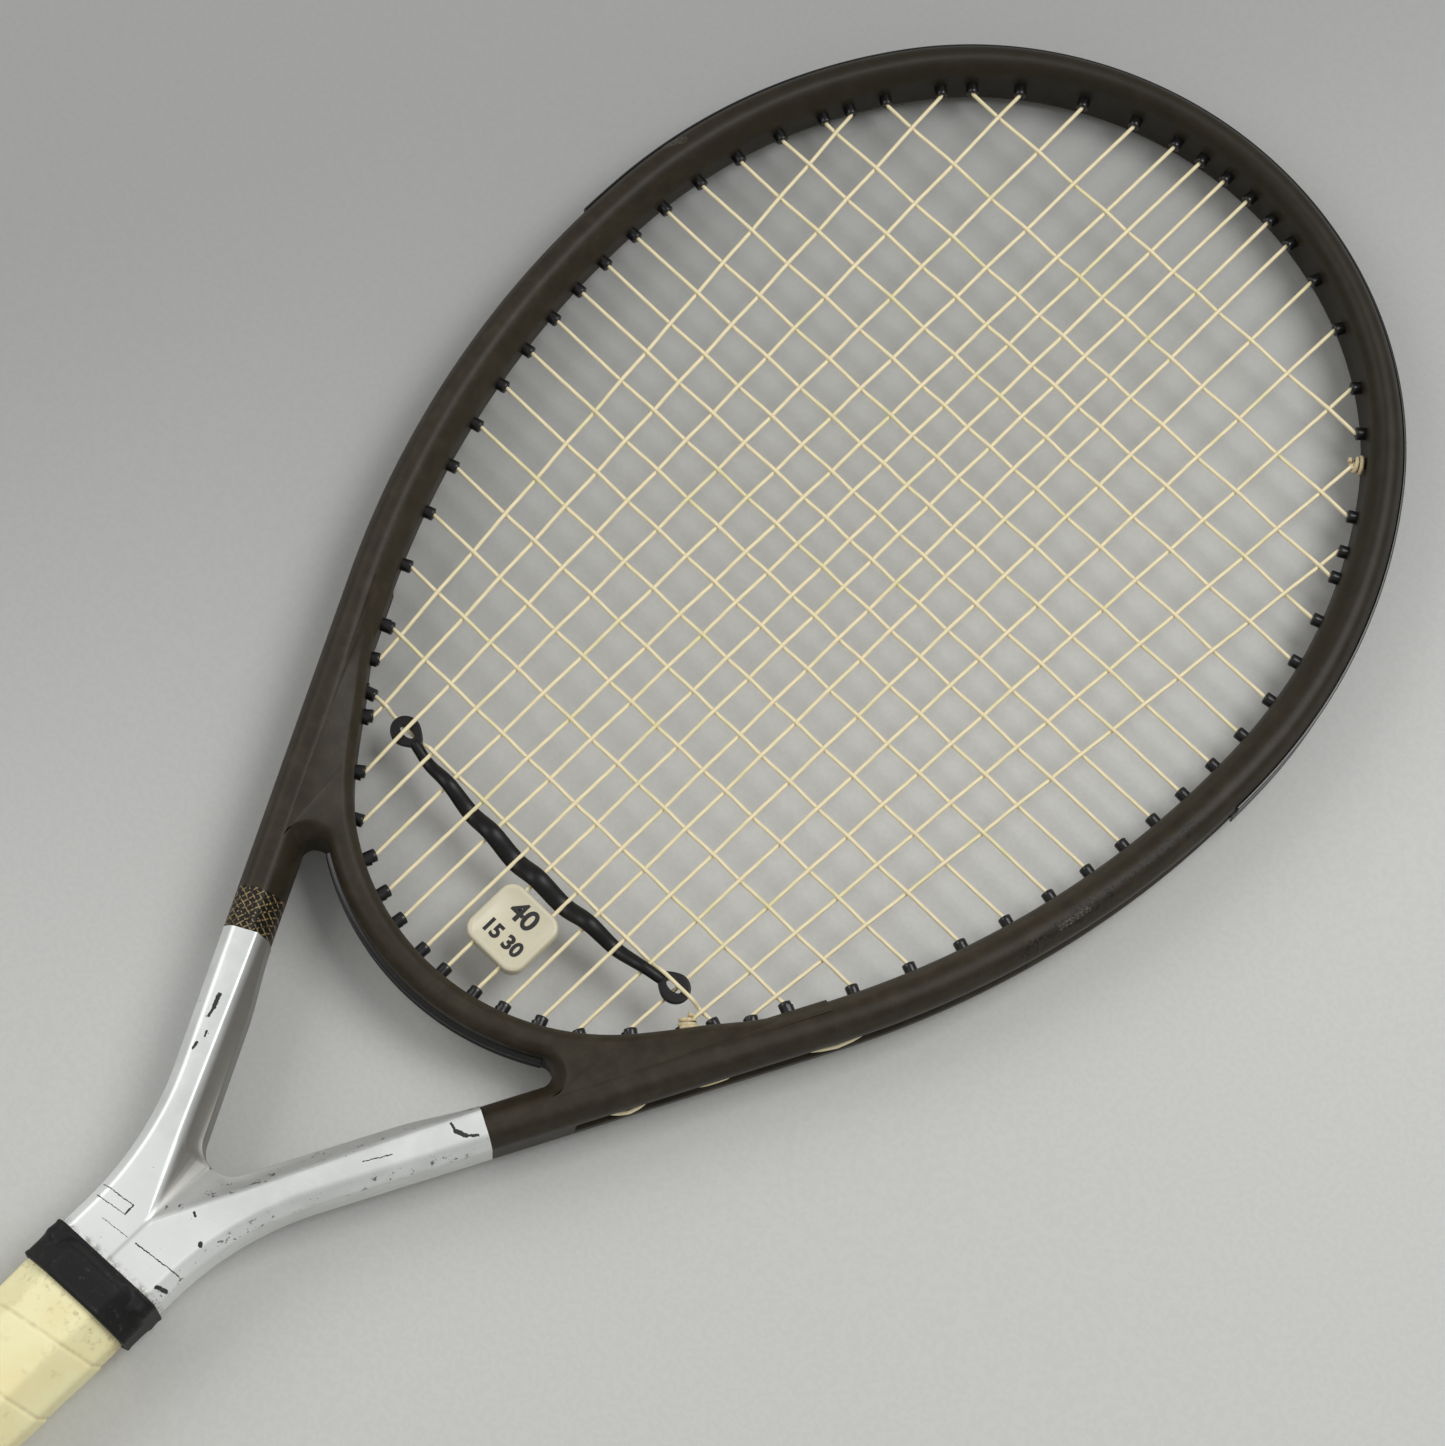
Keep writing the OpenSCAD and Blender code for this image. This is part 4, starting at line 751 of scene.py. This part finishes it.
def make_string():
    """The string bed as one round tube; attributes hold the length run and the turn round it."""
    line, run = resample(string_route(), 6.0, 3.2)
    sides = 9
    attributes = {"run": np.repeat(run, sides), "turn": np.tile(np.arange(sides) / sides, len(line))}
    return tube("string_bed", line, STRING_R, sides, attributes)


strings = make_string()
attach(strings, "racket")
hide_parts("string")


def make_knot(name, hole, turns):
    """A tie-off knot at a grommet's mouth: the string wound round its two runs as a helix that closes in."""
    axis, side = np.append(hole.out, 0), np.append(along_wall(hole), 0)
    u = np.linspace(0, 1, 90)[:, None]
    a = 2 * np.pi * turns * u
    centre = np.append(hole.mouth, 0) - 0.5 * TIE_GAP * side + 1.9 * axis
    reach = 2.3 - 0.9 * u
    line = centre + (reach + 0.4) * np.cos(a) * side + reach * np.sin(a) * [0, 0, 1] - 4.0 * u ** 1.5 * axis
    return tube(name, line, STRING_R + 0.05, 12)


knots = [make_knot("knot_tip", TIP_HOLES[TIE_MAIN], 2.2),
         make_knot("knot_throat", THROAT_HOLES[TIE_MAIN], 3.2)]
for piece in knots:
    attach(piece, "racket")
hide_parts("tie_off_knots")


# ---------------------------------------------------------------- dampener
EYELET_X = main_x(DAMPER_MAIN, DAMPER_Y)


def make_dampener():
    """The worm, thicker in its middle, woven from eyelet to eyelet."""
    end_x, end_y = EYELET_X - 4.4, DAMPER_Y + 1.4
    rise = STRING_R + DAMPER_D / 2 - 0.6
    route = [[-end_x, end_y, -EYELET_Z]]
    for num in range(MAINS + 1 - DAMPER_MAIN, MAINS + 1 + DAMPER_MAIN):
        k, side = numbered(num)
        x = side * main_x(k, DAMPER_Y)
        sag = DAMPER_SAG * (1 - (x / EYELET_X) ** 2) ** 2
        route.append([x, DAMPER_Y - sag, rise if num % 2 else -rise])
    route = np.array(route + [[end_x, end_y, EYELET_Z]])
    # Heights follow a smooth wave between the crossings, and the line is averaged over 25 points
    x = np.linspace(-end_x, end_x, 260)
    i = np.clip(np.searchsorted(route[:, 0], x) - 1, 0, len(route) - 2)
    t = (x - route[i, 0]) / (route[i + 1, 0] - route[i, 0])
    z = blend(route[i, 2], route[i + 1, 2], smoothstep(t))
    y = np.convolve(np.pad(np.interp(x, route[:, 0], route[:, 1]), 12, "edge"), np.ones(25) / 25, "valid")
    middle = 1 - (x / EYELET_X) ** 2
    return tube("dampener_worm", points(x, y, z), 1.6 + 1.5 * middle ** 1.6, 24, tall=1.4 + 0.4 * middle)


def make_eyelet(name, side):
    """A flat teardrop ring: an ellipse drawn out towards the worm, round a slot."""
    u = circle(72)
    ahead = np.maximum(-side * np.cos(u), 0) ** 2
    outer = points((5.0 + 1.6 * ahead) * np.cos(u), (4.7 - 1.2 * ahead) * np.sin(u))[:, None]
    slot = points(2.7 * np.cos(u) - 0.5 * side, 1.35 * np.sin(u))[:, None]
    half = EYELET_T / 2
    section = fillets(np.array([[0, -half], [1, -half], [1, half], [0, half]]), [0.1, 0.25, 0.25, 0.1])
    rings = raised(blend(slot, outer, section[:, :1]), section[:, 1])
    return loft(name, rings + [side * EYELET_X, DAMPER_Y + 1.9, side * EYELET_Z], closed=True)


worm = make_dampener()
dampener = [worm, make_eyelet("dampener_eyelet_left", -1), make_eyelet("dampener_eyelet_right", 1)]
for piece in dampener:
    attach(piece, "racket")
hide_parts("string_dampener")


# ---------------------------------------------------------------- serve tile
TILE_X = (main_x(0, TILE_Y) + main_x(1, TILE_Y)) / 2


def rounded_square(half, corner):
    """Outline of a square with round corners, anticlockwise."""
    a = np.linspace(0, np.pi / 2, 8)
    x, y = half - corner + corner * np.cos(a), half - corner + corner * np.sin(a)
    return np.concatenate([points(x, y), points(-y, x), points(-x, -y), points(y, -x)])


def make_tile():
    """Stacked outlines, as (height, inset): the back, the side wall, a soft edge and a slightly sunk face."""
    levels = [(-TILE_BELOW, 0.9), (-TILE_BELOW + 0.5, 0.0), (TILE_ABOVE - 1.0, 0.0), (TILE_ABOVE - 0.5, 0.1),
              (TILE_ABOVE - 0.15, 0.45), (TILE_ABOVE, 0.95), (TILE_ABOVE - 0.05, 1.5), (TILE_ABOVE - 0.3, 1.9)]
    rings = [raised(rounded_square(TILE_W / 2 - inset, TILE_CORNER - 0.6 * inset) + [TILE_X, TILE_Y], z)
             for z, inset in levels]
    return loft("tile_body", np.array(rings), 40)


tile = make_tile()
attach(tile, "tile")
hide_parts("serve_tile")


def number(name, text, size, y):
    """Plain raised digits on the tile's face, as a mesh with its doubled points joined."""
    curve = bpy.data.curves.new(name, "FONT")
    curve.body = text
    curve.size, curve.extrude, curve.offset = size * MM, 0.05 * MM, 0.25 * MM
    curve.align_x = curve.align_y = "CENTER"
    flat = in_scene(name + "_text", curve)
    bpy.context.view_layer.update()
    mesh = bpy.data.meshes.new_from_object(flat.evaluated_get(bpy.context.evaluated_depsgraph_get()))
    bpy.data.objects.remove(flat)
    mesh.transform(Matrix.Translation(Vector((TILE_X, y, TILE_ABOVE - 0.25)) * MM))
    work = bmesh.new()
    work.from_mesh(mesh)
    bmesh.ops.remove_doubles(work, verts=work.verts, dist=1e-7)
    work.to_mesh(mesh)
    work.free()
    return in_scene(name, mesh)


digits = [number("tile_digits_top", "40", 9.0, TILE_Y + 4.6), number("tile_digits_low", "15 30", 6.4, TILE_Y - 4.4)]
for piece in digits:
    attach(piece, "tile")


# ---------------------------------------------------------------- grip
def soft_octagon(angle, w, h, cut, width=0.06):
    """Distance from the axis to an octagon's edge, averaged over a few degrees, so its corners are round."""
    total = 0
    x, z = w / 2, h / 2
    for a in (angle + s for s in np.linspace(-width, width, 9)):
        ca, sa = np.abs(np.cos(a)), np.abs(np.sin(a))
        flat = np.minimum(x / np.maximum(ca, 1e-4), z / np.maximum(sa, 1e-4))
        total = total + np.minimum(flat, (x + z - cut) / (ca + sa)) / 9
    return total


def make_wrap():
    """Leather strip wound up the handle. Radius is the octagon's edge over the cap's flare, plus the leather,
    which thins under the next turn and puffs up a little towards its free edge."""
    a, y = circle(168)[None, :], np.linspace(WRAP_Y, WRAP_TOP, 560)[:, None]
    flare = blend(SKIRT_T, CAP_FLARE, np.clip((CAP_LEN - y) / (CAP_LEN - 6), 0, 1))
    flare = flare - SKIRT_T * smoothstep((y - CAP_LEN + 3) / 6)
    f = ((y - WRAP_Y) / WRAP_PITCH + a / (2 * np.pi)) % 1
    rise, drop = 0.1 + 0.9 * smoothstep(f / 0.93) ** 1.5, 1 - smoothstep((f - 0.93) / 0.05)
    ridge = WRAP_RIDGE * np.where(f < 0.93, rise, drop)
    groove = -0.1 * np.exp(-((f - 0.985) / 0.012) ** 2)
    end = 0.55 + 0.45 * np.clip((WRAP_TOP - y) / 10, 0, 1)
    r = soft_octagon(a, PALLET_W + 2 * flare, PALLET_H + 2 * flare, PALLET_CUT + 0.6 * flare)
    r = r + (WRAP_T + ridge + groove) * end
    seam = np.minimum(f, 1 - f) * WRAP_PITCH
    return loft("leather_wrap", points(r * np.cos(a), y, r * np.sin(a)), 60, attributes={"seam": seam})


wrap = make_wrap()
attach(wrap, "racket")
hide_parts("grip_wrap")


def make_collar():
    """Rubber band: the wrap's octagon blends into the shaft's flat section; both rims are rolled."""
    a, t = circle(200)[None, :], np.linspace(0, 1, 48)[:, None]
    low = soft_octagon(a, PALLET_W + 4.9, PALLET_H + 4.9, PALLET_CUT + 1.2, 0.08)
    high = soft_octagon(a, 2 * SHAFT_HW + 0.2, 2 * HALF_H + 0.2, min(OUTER_BEVEL, HALF_H - OUTER_WALL) - 0.6, 0.05)
    # Where the shaft is the wider of the two, the band reaches its size early
    base = blend(low, high, np.where(high > low, smoothstep((t - 0.4) / 0.3), smoothstep((t - 0.7) / 0.28)))
    rim = 0.22 * (np.exp(-((t - 0.06) / 0.045) ** 2) + np.exp(-((t - 0.95) / 0.04) ** 2))
    thick = COLLAR_T * (1 - 0.45 * smoothstep((t - 0.5) / 0.4)) * np.clip(np.minimum(t, 1 - t) / 0.03, 0, 1) ** 0.5
    rings = [points(r * np.cos(a), COLLAR_Y + COLLAR_LEN * t + 0.05 * r * np.cos(a), r * np.sin(a))
             for r in (base + thick + rim, base - 0.3)]
    return loft("rubber_collar", np.concatenate([rings[0], rings[1][::-1]]), closed=True)


collar = make_collar()
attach(collar, "racket")
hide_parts("grip_collar")


# ---------------------------------------------------------------- materials
def operator(operation, swapped=False):
    """A method that adds the Math node of an operation."""
    def method(self, *others):
        values = (*others, self) if swapped else (self, *others)
        return self.owner.node("ShaderNodeMath", {"operation": operation}, *values)
    return method


class Value:
    """A shader socket that takes part in sums; each operation adds its Math node."""
    __add__ = __radd__ = operator("ADD")
    __mul__ = __rmul__ = operator("MULTIPLY")
    __sub__, __rsub__, __truediv__ = operator("SUBTRACT"), operator("SUBTRACT", swapped=True), operator("DIVIDE")
    __gt__, __abs__, sin = operator("GREATER_THAN"), operator("ABSOLUTE"), operator("SINE")
    __lt__, max, min = operator("LESS_THAN"), operator("MAXIMUM"), operator("MINIMUM")

    def __init__(self, owner, socket):
        self.owner, self.socket = owner, socket

    def band(self, low, high):
        """0 at low, 1 at high, smooth between; falls the other way if low is above high."""
        ends = (low, high, 0.0, 1.0) if low < high else (high, low, 1.0, 0.0)
        return self.owner.node("ShaderNodeMapRange", {"interpolation_type": "SMOOTHSTEP"}, self, *ends)


class Paint:
    """A node material for one finish. at is the place in millimetres, and x, y and z are its parts."""

    def __init__(self, name):
        self.data = bpy.data.materials.new(name)
        self.data.use_nodes = True
        self.tree = self.data.node_tree
        self.shader = next(n for n in self.tree.nodes if n.type == "BSDF_PRINCIPLED")
        metres = self.node("ShaderNodeTexCoord", out=3)
        self.at = self.node("ShaderNodeVectorMath", {"operation": "MULTIPLY"}, metres, (1000, 1000, 1000))
        self.x, self.y, self.z = (self.node("ShaderNodeSeparateXYZ", None, self.at, out=i) for i in range(3))

    def node(self, kind, settings=None, *values, out=0, **named):
        """Adds a node: settings first, then values or links for its sockets by order or by name."""
        n = self.tree.nodes.new(kind)
        for key, value in (settings or {}).items():
            setattr(n, key, value)
        for key, value in [*enumerate(values), *named.items()]:
            self.feed(n.inputs[key], value)
        return Value(self, n.outputs[out])

    def feed(self, socket, value):
        """Links a value to a socket, or sets the socket's own."""
        if isinstance(value, Value):
            self.tree.links.new(value.socket, socket)
        elif isinstance(value, tuple) and len(socket.default_value) == 4:
            socket.default_value = (*value, 1)
        else:
            socket.default_value = value

    def attribute(self, name):
        return self.node("ShaderNodeAttribute", {"attribute_name": name}, out=2)

    def noise(self, scale, detail=3.0, rough=0.55):
        return self.node("ShaderNodeTexNoise", None, Vector=self.at, Scale=scale, Detail=detail, Roughness=rough)

    def mix(self, factor, a, b):
        """Colour a turning into colour b."""
        n = self.tree.nodes.new("ShaderNodeMix")
        n.data_type = "RGBA"
        for index, value in ((0, factor), (6, a), (7, b)):
            self.feed(n.inputs[index], value)
        return Value(self, n.outputs[2])

    def ramp(self, factor, *stops):
        """A colour from stops of (place, colour) along a factor."""
        value = self.node("ShaderNodeValToRGB", None, factor)
        elements = value.socket.node.color_ramp.elements
        while len(elements) < len(stops):
            elements.new(0.5)
        for element, (place, colour) in zip(elements, stops):
            element.position, element.color = place, (*colour, 1)
        return value

    def bump(self, height, distance, strength):
        return self.node("ShaderNodeBump", None, Height=height, Distance=distance * MM, Strength=strength)

    def strokes(self, x, y, marks):
        """1 on any stroke of (x, y, x, y, half width), with an edge a fifth of the half width to each side."""
        found = 0.0
        for ax, ay, bx, by, half in marks:
            dx, dy = bx - ax, by - ay
            t = (((x - ax) * dx + (y - ay) * dy) / (dx * dx + dy * dy + 1e-6)).max(0.0).min(1.0)
            u, v = x - ax - t * dx, y - ay - t * dy
            found = (u * u + v * v).band((1.2 * half) ** 2, (0.8 * half) ** 2).max(found)
        return found

    def finish(self, **sockets):
        for key, value in sockets.items():
            self.feed(self.shader.inputs[key.replace("_", " ")], value)
        return self.data


# Strokes, as (x, y, x, y, half width): knocks and scratches in the silver, scrapes and rubbed spots on the hoop
SILVER_MARKS = [
    (-34.2, 269.6, -32.6, 266.0, 0.7), (-32.6, 266.0, -31.8, 263.0, 0.4), (-28.4, 255.2, -28.0, 253.4, 0.45),
    (-28.8, 259.6, -28.2, 258.2, 0.35), (41.0, 290.4, 43.6, 289.8, 0.4), (43.6, 289.8, 46.6, 291.0, 0.7),
    (46.6, 291.0, 49.0, 293.6, 0.4), (31.0, 264.8, 35.5, 272.1, 0.16), (2.0, 202.6, 17.4, 204.8, 0.16),
    (-10.0, 201.0, -1.0, 202.2, 0.1), (-17.4, 208.0, -6.4, 209.6, 0.14), (-6.4, 209.6, -6.1, 206.2, 0.24),
    (-6.1, 206.2, -16.2, 204.4, 0.13), (15.2, 215.6, 15.6, 215.0, 0.6), (7.4, 220.4, 8.4, 219.9, 0.4),
    (15.4, 198.2, 17.6, 199.4, 0.6)]
HOOP_SCRAPES = [(124.5, 447.0, 130.4, 479.0, 1.6), (131.0, 484.0, 134.2, 513.0, 1.1)]
HOOP_RUBS = [(-136.5, 560.5, -133.5, 565.0, 1.4), (127.0, 460.0, 129.0, 470.0, 0.8)]


def brown_laminate():
    """Satin dark taupe lacquer with fine mottling, painted shade that darkens it over the tip, with rubbed spots,
    black scrapes along the outer edge and a band of bare gold braid above the paint line of the left arm."""
    p = Paint("brown_laminate")
    x, y = p.x, p.y
    base = p.ramp(p.noise(0.16, 5, 0.6), (0.3, (0.020, 0.015, 0.008)), (0.5, (0.028, 0.021, 0.011)),
                  (0.72, (0.040, 0.031, 0.018)))
    dust = p.noise(5.5, 2, 0.7).band(0.62, 0.75) * p.noise(0.3, 2).band(0.48, 0.62)
    colour = p.mix(dust * 0.35, base, (0.22, 0.19, 0.15))
    wander = (p.noise(0.35, 4, 0.7) - 0.5) * 6
    scrape = p.strokes(x + wander, y, HOOP_SCRAPES) * p.noise(0.8, 4, 0.75).band(0.48, 0.58)
    colour = p.mix(scrape, colour, (0.006, 0.006, 0.006))
    rub = p.strokes(x, y, HOOP_RUBS) * p.noise(2.5, 3, 0.8).band(0.5, 0.6)
    colour = p.mix(rub * 0.6, colour, (0.30, 0.29, 0.26))
    # Braid: two families of strands that cross, bare in places
    down, across = ((x + ARM_END[0]) * -v[0] + (y - ARM_END[1]) * v[1] for v in (RUN_ARM, N_ARM))
    one, other = (abs((lean * 1.25 + wander * 0.1).sin()).band(0.4, 0.2) for lean in (down + across, down - across))
    strand = one.max(other) * p.noise(1.2).band(0.44, 0.54)
    braid = p.mix(strand * 0.85, (0.008, 0.007, 0.005), (0.36, 0.26, 0.11))
    colour = p.mix((down > LEFT_ARM - 13.0) * (x < 0.0) * (across > -15.0), colour, braid)
    # Painted shade: the lacquer darkens over the tip
    colour = p.mix(y.band(430.0, 640.0) * 0.55, colour, (0.010, 0.008, 0.003))
    speck = p.noise(1.6, 3, 0.6)
    return p.finish(Base_Color=colour, Roughness=0.42 + 0.16 * speck, Normal=p.bump(speck, 0.05, 0.25),
                    Specular_IOR_Level=0.28)


def silver_laminate():
    """Metallic paint with fine flake, with painted light that brightens it towards the shaft and painted shade and a
    painted reflection of the dark hoop that make it warm and dark on the slopes into the V, with knocks down to the
    black, and glue and dirt at the collar."""
    p = Paint("silver_laminate")
    x = p.x + (p.noise(0.7, 4, 0.7) - 0.5) * 1.1
    y = p.y + (p.noise(0.9, 4, 0.7) - 0.5) * 1.1
    base = p.mix(p.noise(0.12).band(0.35, 0.7), (0.74, 0.76, 0.74), (0.82, 0.84, 0.82))
    # Painted light: paler towards the shaft
    base = p.mix(y.band(240.0, 205.0) * 0.7, base, (0.95, 0.97, 0.95))
    # Painted shade and reflection: the slopes into the V turn a dark warm brown, more on the left arm
    slope = p.attribute("slope") * (0.42 + 0.42 * x.band(4.0, -6.0))
    base = p.mix(slope, base, (0.10, 0.085, 0.065))
    chips = p.noise(0.55, 4, 0.65).band(0.70, 0.73).max(p.strokes(x, y, SILVER_MARKS) * (p.z > 0.0))
    edge = p.z.band(5.0, 8.0) * p.z.band(12.4, 11.0) * p.noise(0.35, 4, 0.7).band(0.60, 0.64) * (x > 0.0)
    chips = chips.max(edge * 0.8)
    rim = (y - x * 0.05 - COLLAR_Y - COLLAR_LEN).band(2.6, 0.4) * p.noise(0.45, 4, 0.7).band(0.42, 0.62)
    colour = p.mix(chips, p.mix(rim * 0.7, base, (0.16, 0.12, 0.07)), (0.02, 0.02, 0.02))
    # Chips and the glued rim are bare, and the slopes with painted shade lose their metal too
    bare_and_shaded = chips.max(rim * 0.8).max(slope * 0.5)
    return p.finish(Base_Color=colour, Metallic=0.45 - 0.45 * bare_and_shaded, Roughness=0.33 + 0.12 * p.noise(9.0, 2, 0.6),
                    Normal=p.bump(1 - chips, 0.08, 0.5))


def string_fibre():
    """Cream multifilament: a fine twist along the string and a few worn stains."""
    p = Paint("string_fibre")
    twist = (p.attribute("run") * 0.9 + p.attribute("turn") * 6.2832 * 3).sin()
    base = p.mix(p.noise(0.05).band(0.52, 0.7) * 0.6, (0.90, 0.79, 0.51), (0.76, 0.71, 0.36))
    colour = p.mix((twist * 0.5 + 0.5) * 0.18, base, (0.60, 0.52, 0.34))
    return p.finish(Base_Color=colour, Roughness=0.42, Normal=p.bump(twist, 0.04, 0.3))


def grip_leather():
    """Pale smooth leather with pores, brown dirt along each seam, smudges and a handled end at the collar."""
    p = Paint("grip_leather")
    base = p.ramp(p.noise(0.07, 4, 0.6), (0.35, (0.94, 0.84, 0.46)), (0.6, (0.97, 0.91, 0.54)))
    dirt = p.attribute("seam").band(1.2, 0.0) * (0.35 + 0.65 * p.noise(0.35).band(0.35, 0.6))
    smudge = p.noise(0.2, 5, 0.65).band(0.56, 0.75)
    handled = p.y.band(166.0, 181.0) * p.noise(0.45, 4, 0.7).band(0.52, 0.66)
    colour = p.mix(dirt * 0.3, base, (0.40, 0.29, 0.16))
    colour = p.mix(smudge * 0.3, colour, (0.45, 0.37, 0.25))
    colour = p.mix(handled * 0.5, colour, (0.36, 0.26, 0.14))
    pores, grain = p.node("ShaderNodeTexVoronoi", None, Vector=p.at, Scale=1.5), p.noise(0.9, 4, 0.6)
    return p.finish(Base_Color=colour, Roughness=0.55 + 0.1 * grain,
                    Normal=p.bump(grain * 0.6 + pores * 0.4, 0.12, 0.35))


def black_rubber(name, roughness, dusty):
    """Black rubber with pale dust."""
    p = Paint(name)
    colour = p.mix(p.noise(0.5, 5, 0.7).band(0.55, 0.8) * dusty, (0.006, 0.006, 0.006), (0.16, 0.14, 0.11))
    grain = p.noise(1.2)
    return p.finish(Base_Color=colour, Roughness=roughness + 0.15 * grain, Normal=p.bump(grain, 0.05, 0.3),
                    Specular_IOR_Level=0.3)


def moulded(name, colour, worn, share, noise, band, roughness, rougher=0.0):
    """A smooth moulding with scuffed or soiled patches, which may be rougher."""
    p = Paint(name)
    patch = p.noise(*noise).band(*band)
    return p.finish(Base_Color=p.mix(patch * share, colour, worn), Roughness=roughness + rougher * patch)


def plain(name, colour, roughness, metallic=0.0):
    """Stock with a fine grain."""
    p = Paint(name)
    fine = p.noise(1.0)
    dark = tuple(0.8 * c for c in colour)
    return p.finish(Base_Color=p.mix(fine.band(0.3, 0.7), dark, colour), Roughness=roughness,
                    Metallic=metallic, Normal=p.bump(fine, 0.05, 0.2))


def paint(material, *pieces):
    """Gives pieces one material, on each mesh's own slots."""
    for obj in pieces:
        obj.data.materials.clear()
        obj.data.materials.append(material)


paint(brown_laminate(), hoop, bridge)
paint(silver_laminate(), yoke_left, yoke_right)
paint(moulded("black_nylon", (0.008, 0.008, 0.008), (0.09, 0.085, 0.08), 0.3, (1.2, 4, 0.7), (0.6, 0.75), 0.28, 0.3),
      barrels, lips, bumper, *(nodes["grommet_strip_" + place] for place in ("left", "right", "throat")))
paint(black_rubber("dampener_rubber", 0.34, 0.05), *dampener)
paint(black_rubber("collar_rubber", 0.5, 0.35), collar)
paint(plain("black_ink", (0.012, 0.012, 0.012), 0.45), *digits)
paint(string_fibre(), strings)
paint(plain("knot_fibre", (0.72, 0.60, 0.36), 0.45), *knots)
paint(grip_leather(), wrap)
paint(moulded("cream_plastic", (0.66, 0.61, 0.45), (0.48, 0.42, 0.27), 0.25, (0.35, 4, 0.6), (0.5, 0.8), 0.36), tile)
paint(plain("bare_laminate", (0.02, 0.02, 0.02), 0.6), nodes["shaft_tubes"])
paint(plain("handle_foam", (0.55, 0.47, 0.28), 0.8), nodes["handle_pallet"])
paint(plain("cloth_tape", (0.60, 0.50, 0.30), 0.7), nodes["finishing_tape"])
paint(plain("black_plastic", (0.02, 0.02, 0.02), 0.5), nodes["butt_cap"], nodes["butt_door"])
paint(plain("staple_steel", (0.6, 0.6, 0.62), 0.3, 1.0), nodes["butt_staples"])


# ---------------------------------------------------------------- stage, lights and camera
def make_floor():
    """A plain floor under the butt cap and the tip, with painted light that makes it paler towards the camera's
    right.
    """
    low, high = -19.05, -13.0
    corner = [[x, y, low + (high - low) / TIP_Y * y]
              for x, y in ((-1500, -900), (1500, -900), (1500, 1700), (-1500, 1700))]
    floor = put_mesh("floor", np.array(corner, float), [[0, 1, 2, 3]])
    p = Paint("floor_paint")
    # Painted light: paler towards the camera's right, darker towards the upper left
    colour = p.mix((p.x * 0.907 - p.y * 0.511).band(-473.0, -93.0), (0.365, 0.368, 0.36), (0.61, 0.612, 0.592))
    speck = p.noise(0.6, 2).band(0.4, 0.6)
    paint(p.finish(Base_Color=p.mix(speck * 0.05, colour, (0.2, 0.2, 0.2)), Roughness=0.85), floor)


def area_light(name, place, target, size, power):
    """A soft square lamp that points at a target, in millimetres."""
    lamp = bpy.data.lights.new(name, "AREA")
    lamp.shape = "RECTANGLE"
    lamp.size = lamp.size_y = size * MM
    lamp.energy = power
    turn = (Vector(target) - Vector(place)).to_track_quat("-Z", "Y").to_matrix().to_4x4()
    in_scene(name, lamp).matrix_world = Matrix.Translation(Vector(place) * MM) @ turn


make_floor()
area_light("key", (450, 1150, 1450), (0, 400, 0), 800, 14)
area_light("fill", (-1150, -100, 1150), (0, 350, 0), 1000, 8)
world = bpy.data.worlds.new("room")
world.use_nodes = True
room_colour, room_strength = world.node_tree.nodes["Background"].inputs[:2]
room_colour.default_value, room_strength.default_value = (1, 1, 1, 1), 0.38
bpy.context.scene.world = world

# Focal length and frame width in pixels, the camera's place in millimetres and its axes
FOCAL, FRAME_W, SENSOR_W = 3700, 1445, 36.0
EYE = (208.8, 144.8, 1071.8)
RIGHT, DOWN, AHEAD = (0.71590, 0.69590, 0.05659), (0.67540, -0.66971, -0.30875), (-0.17696, 0.25926, -0.94946)
camera = in_scene("camera", bpy.data.cameras.new("camera"))
camera.data.sensor_fit = "HORIZONTAL"
camera.data.sensor_width = SENSOR_W
camera.data.lens = FOCAL / FRAME_W * SENSOR_W
camera.data.clip_end = 20
camera.matrix_world = Matrix.Translation(Vector(EYE) * MM) @ Matrix(
    (Vector(RIGHT), -Vector(DOWN), -Vector(AHEAD))).transposed().to_4x4()
bpy.context.scene.camera = camera
bpy.context.scene.view_settings.view_transform = "Standard"
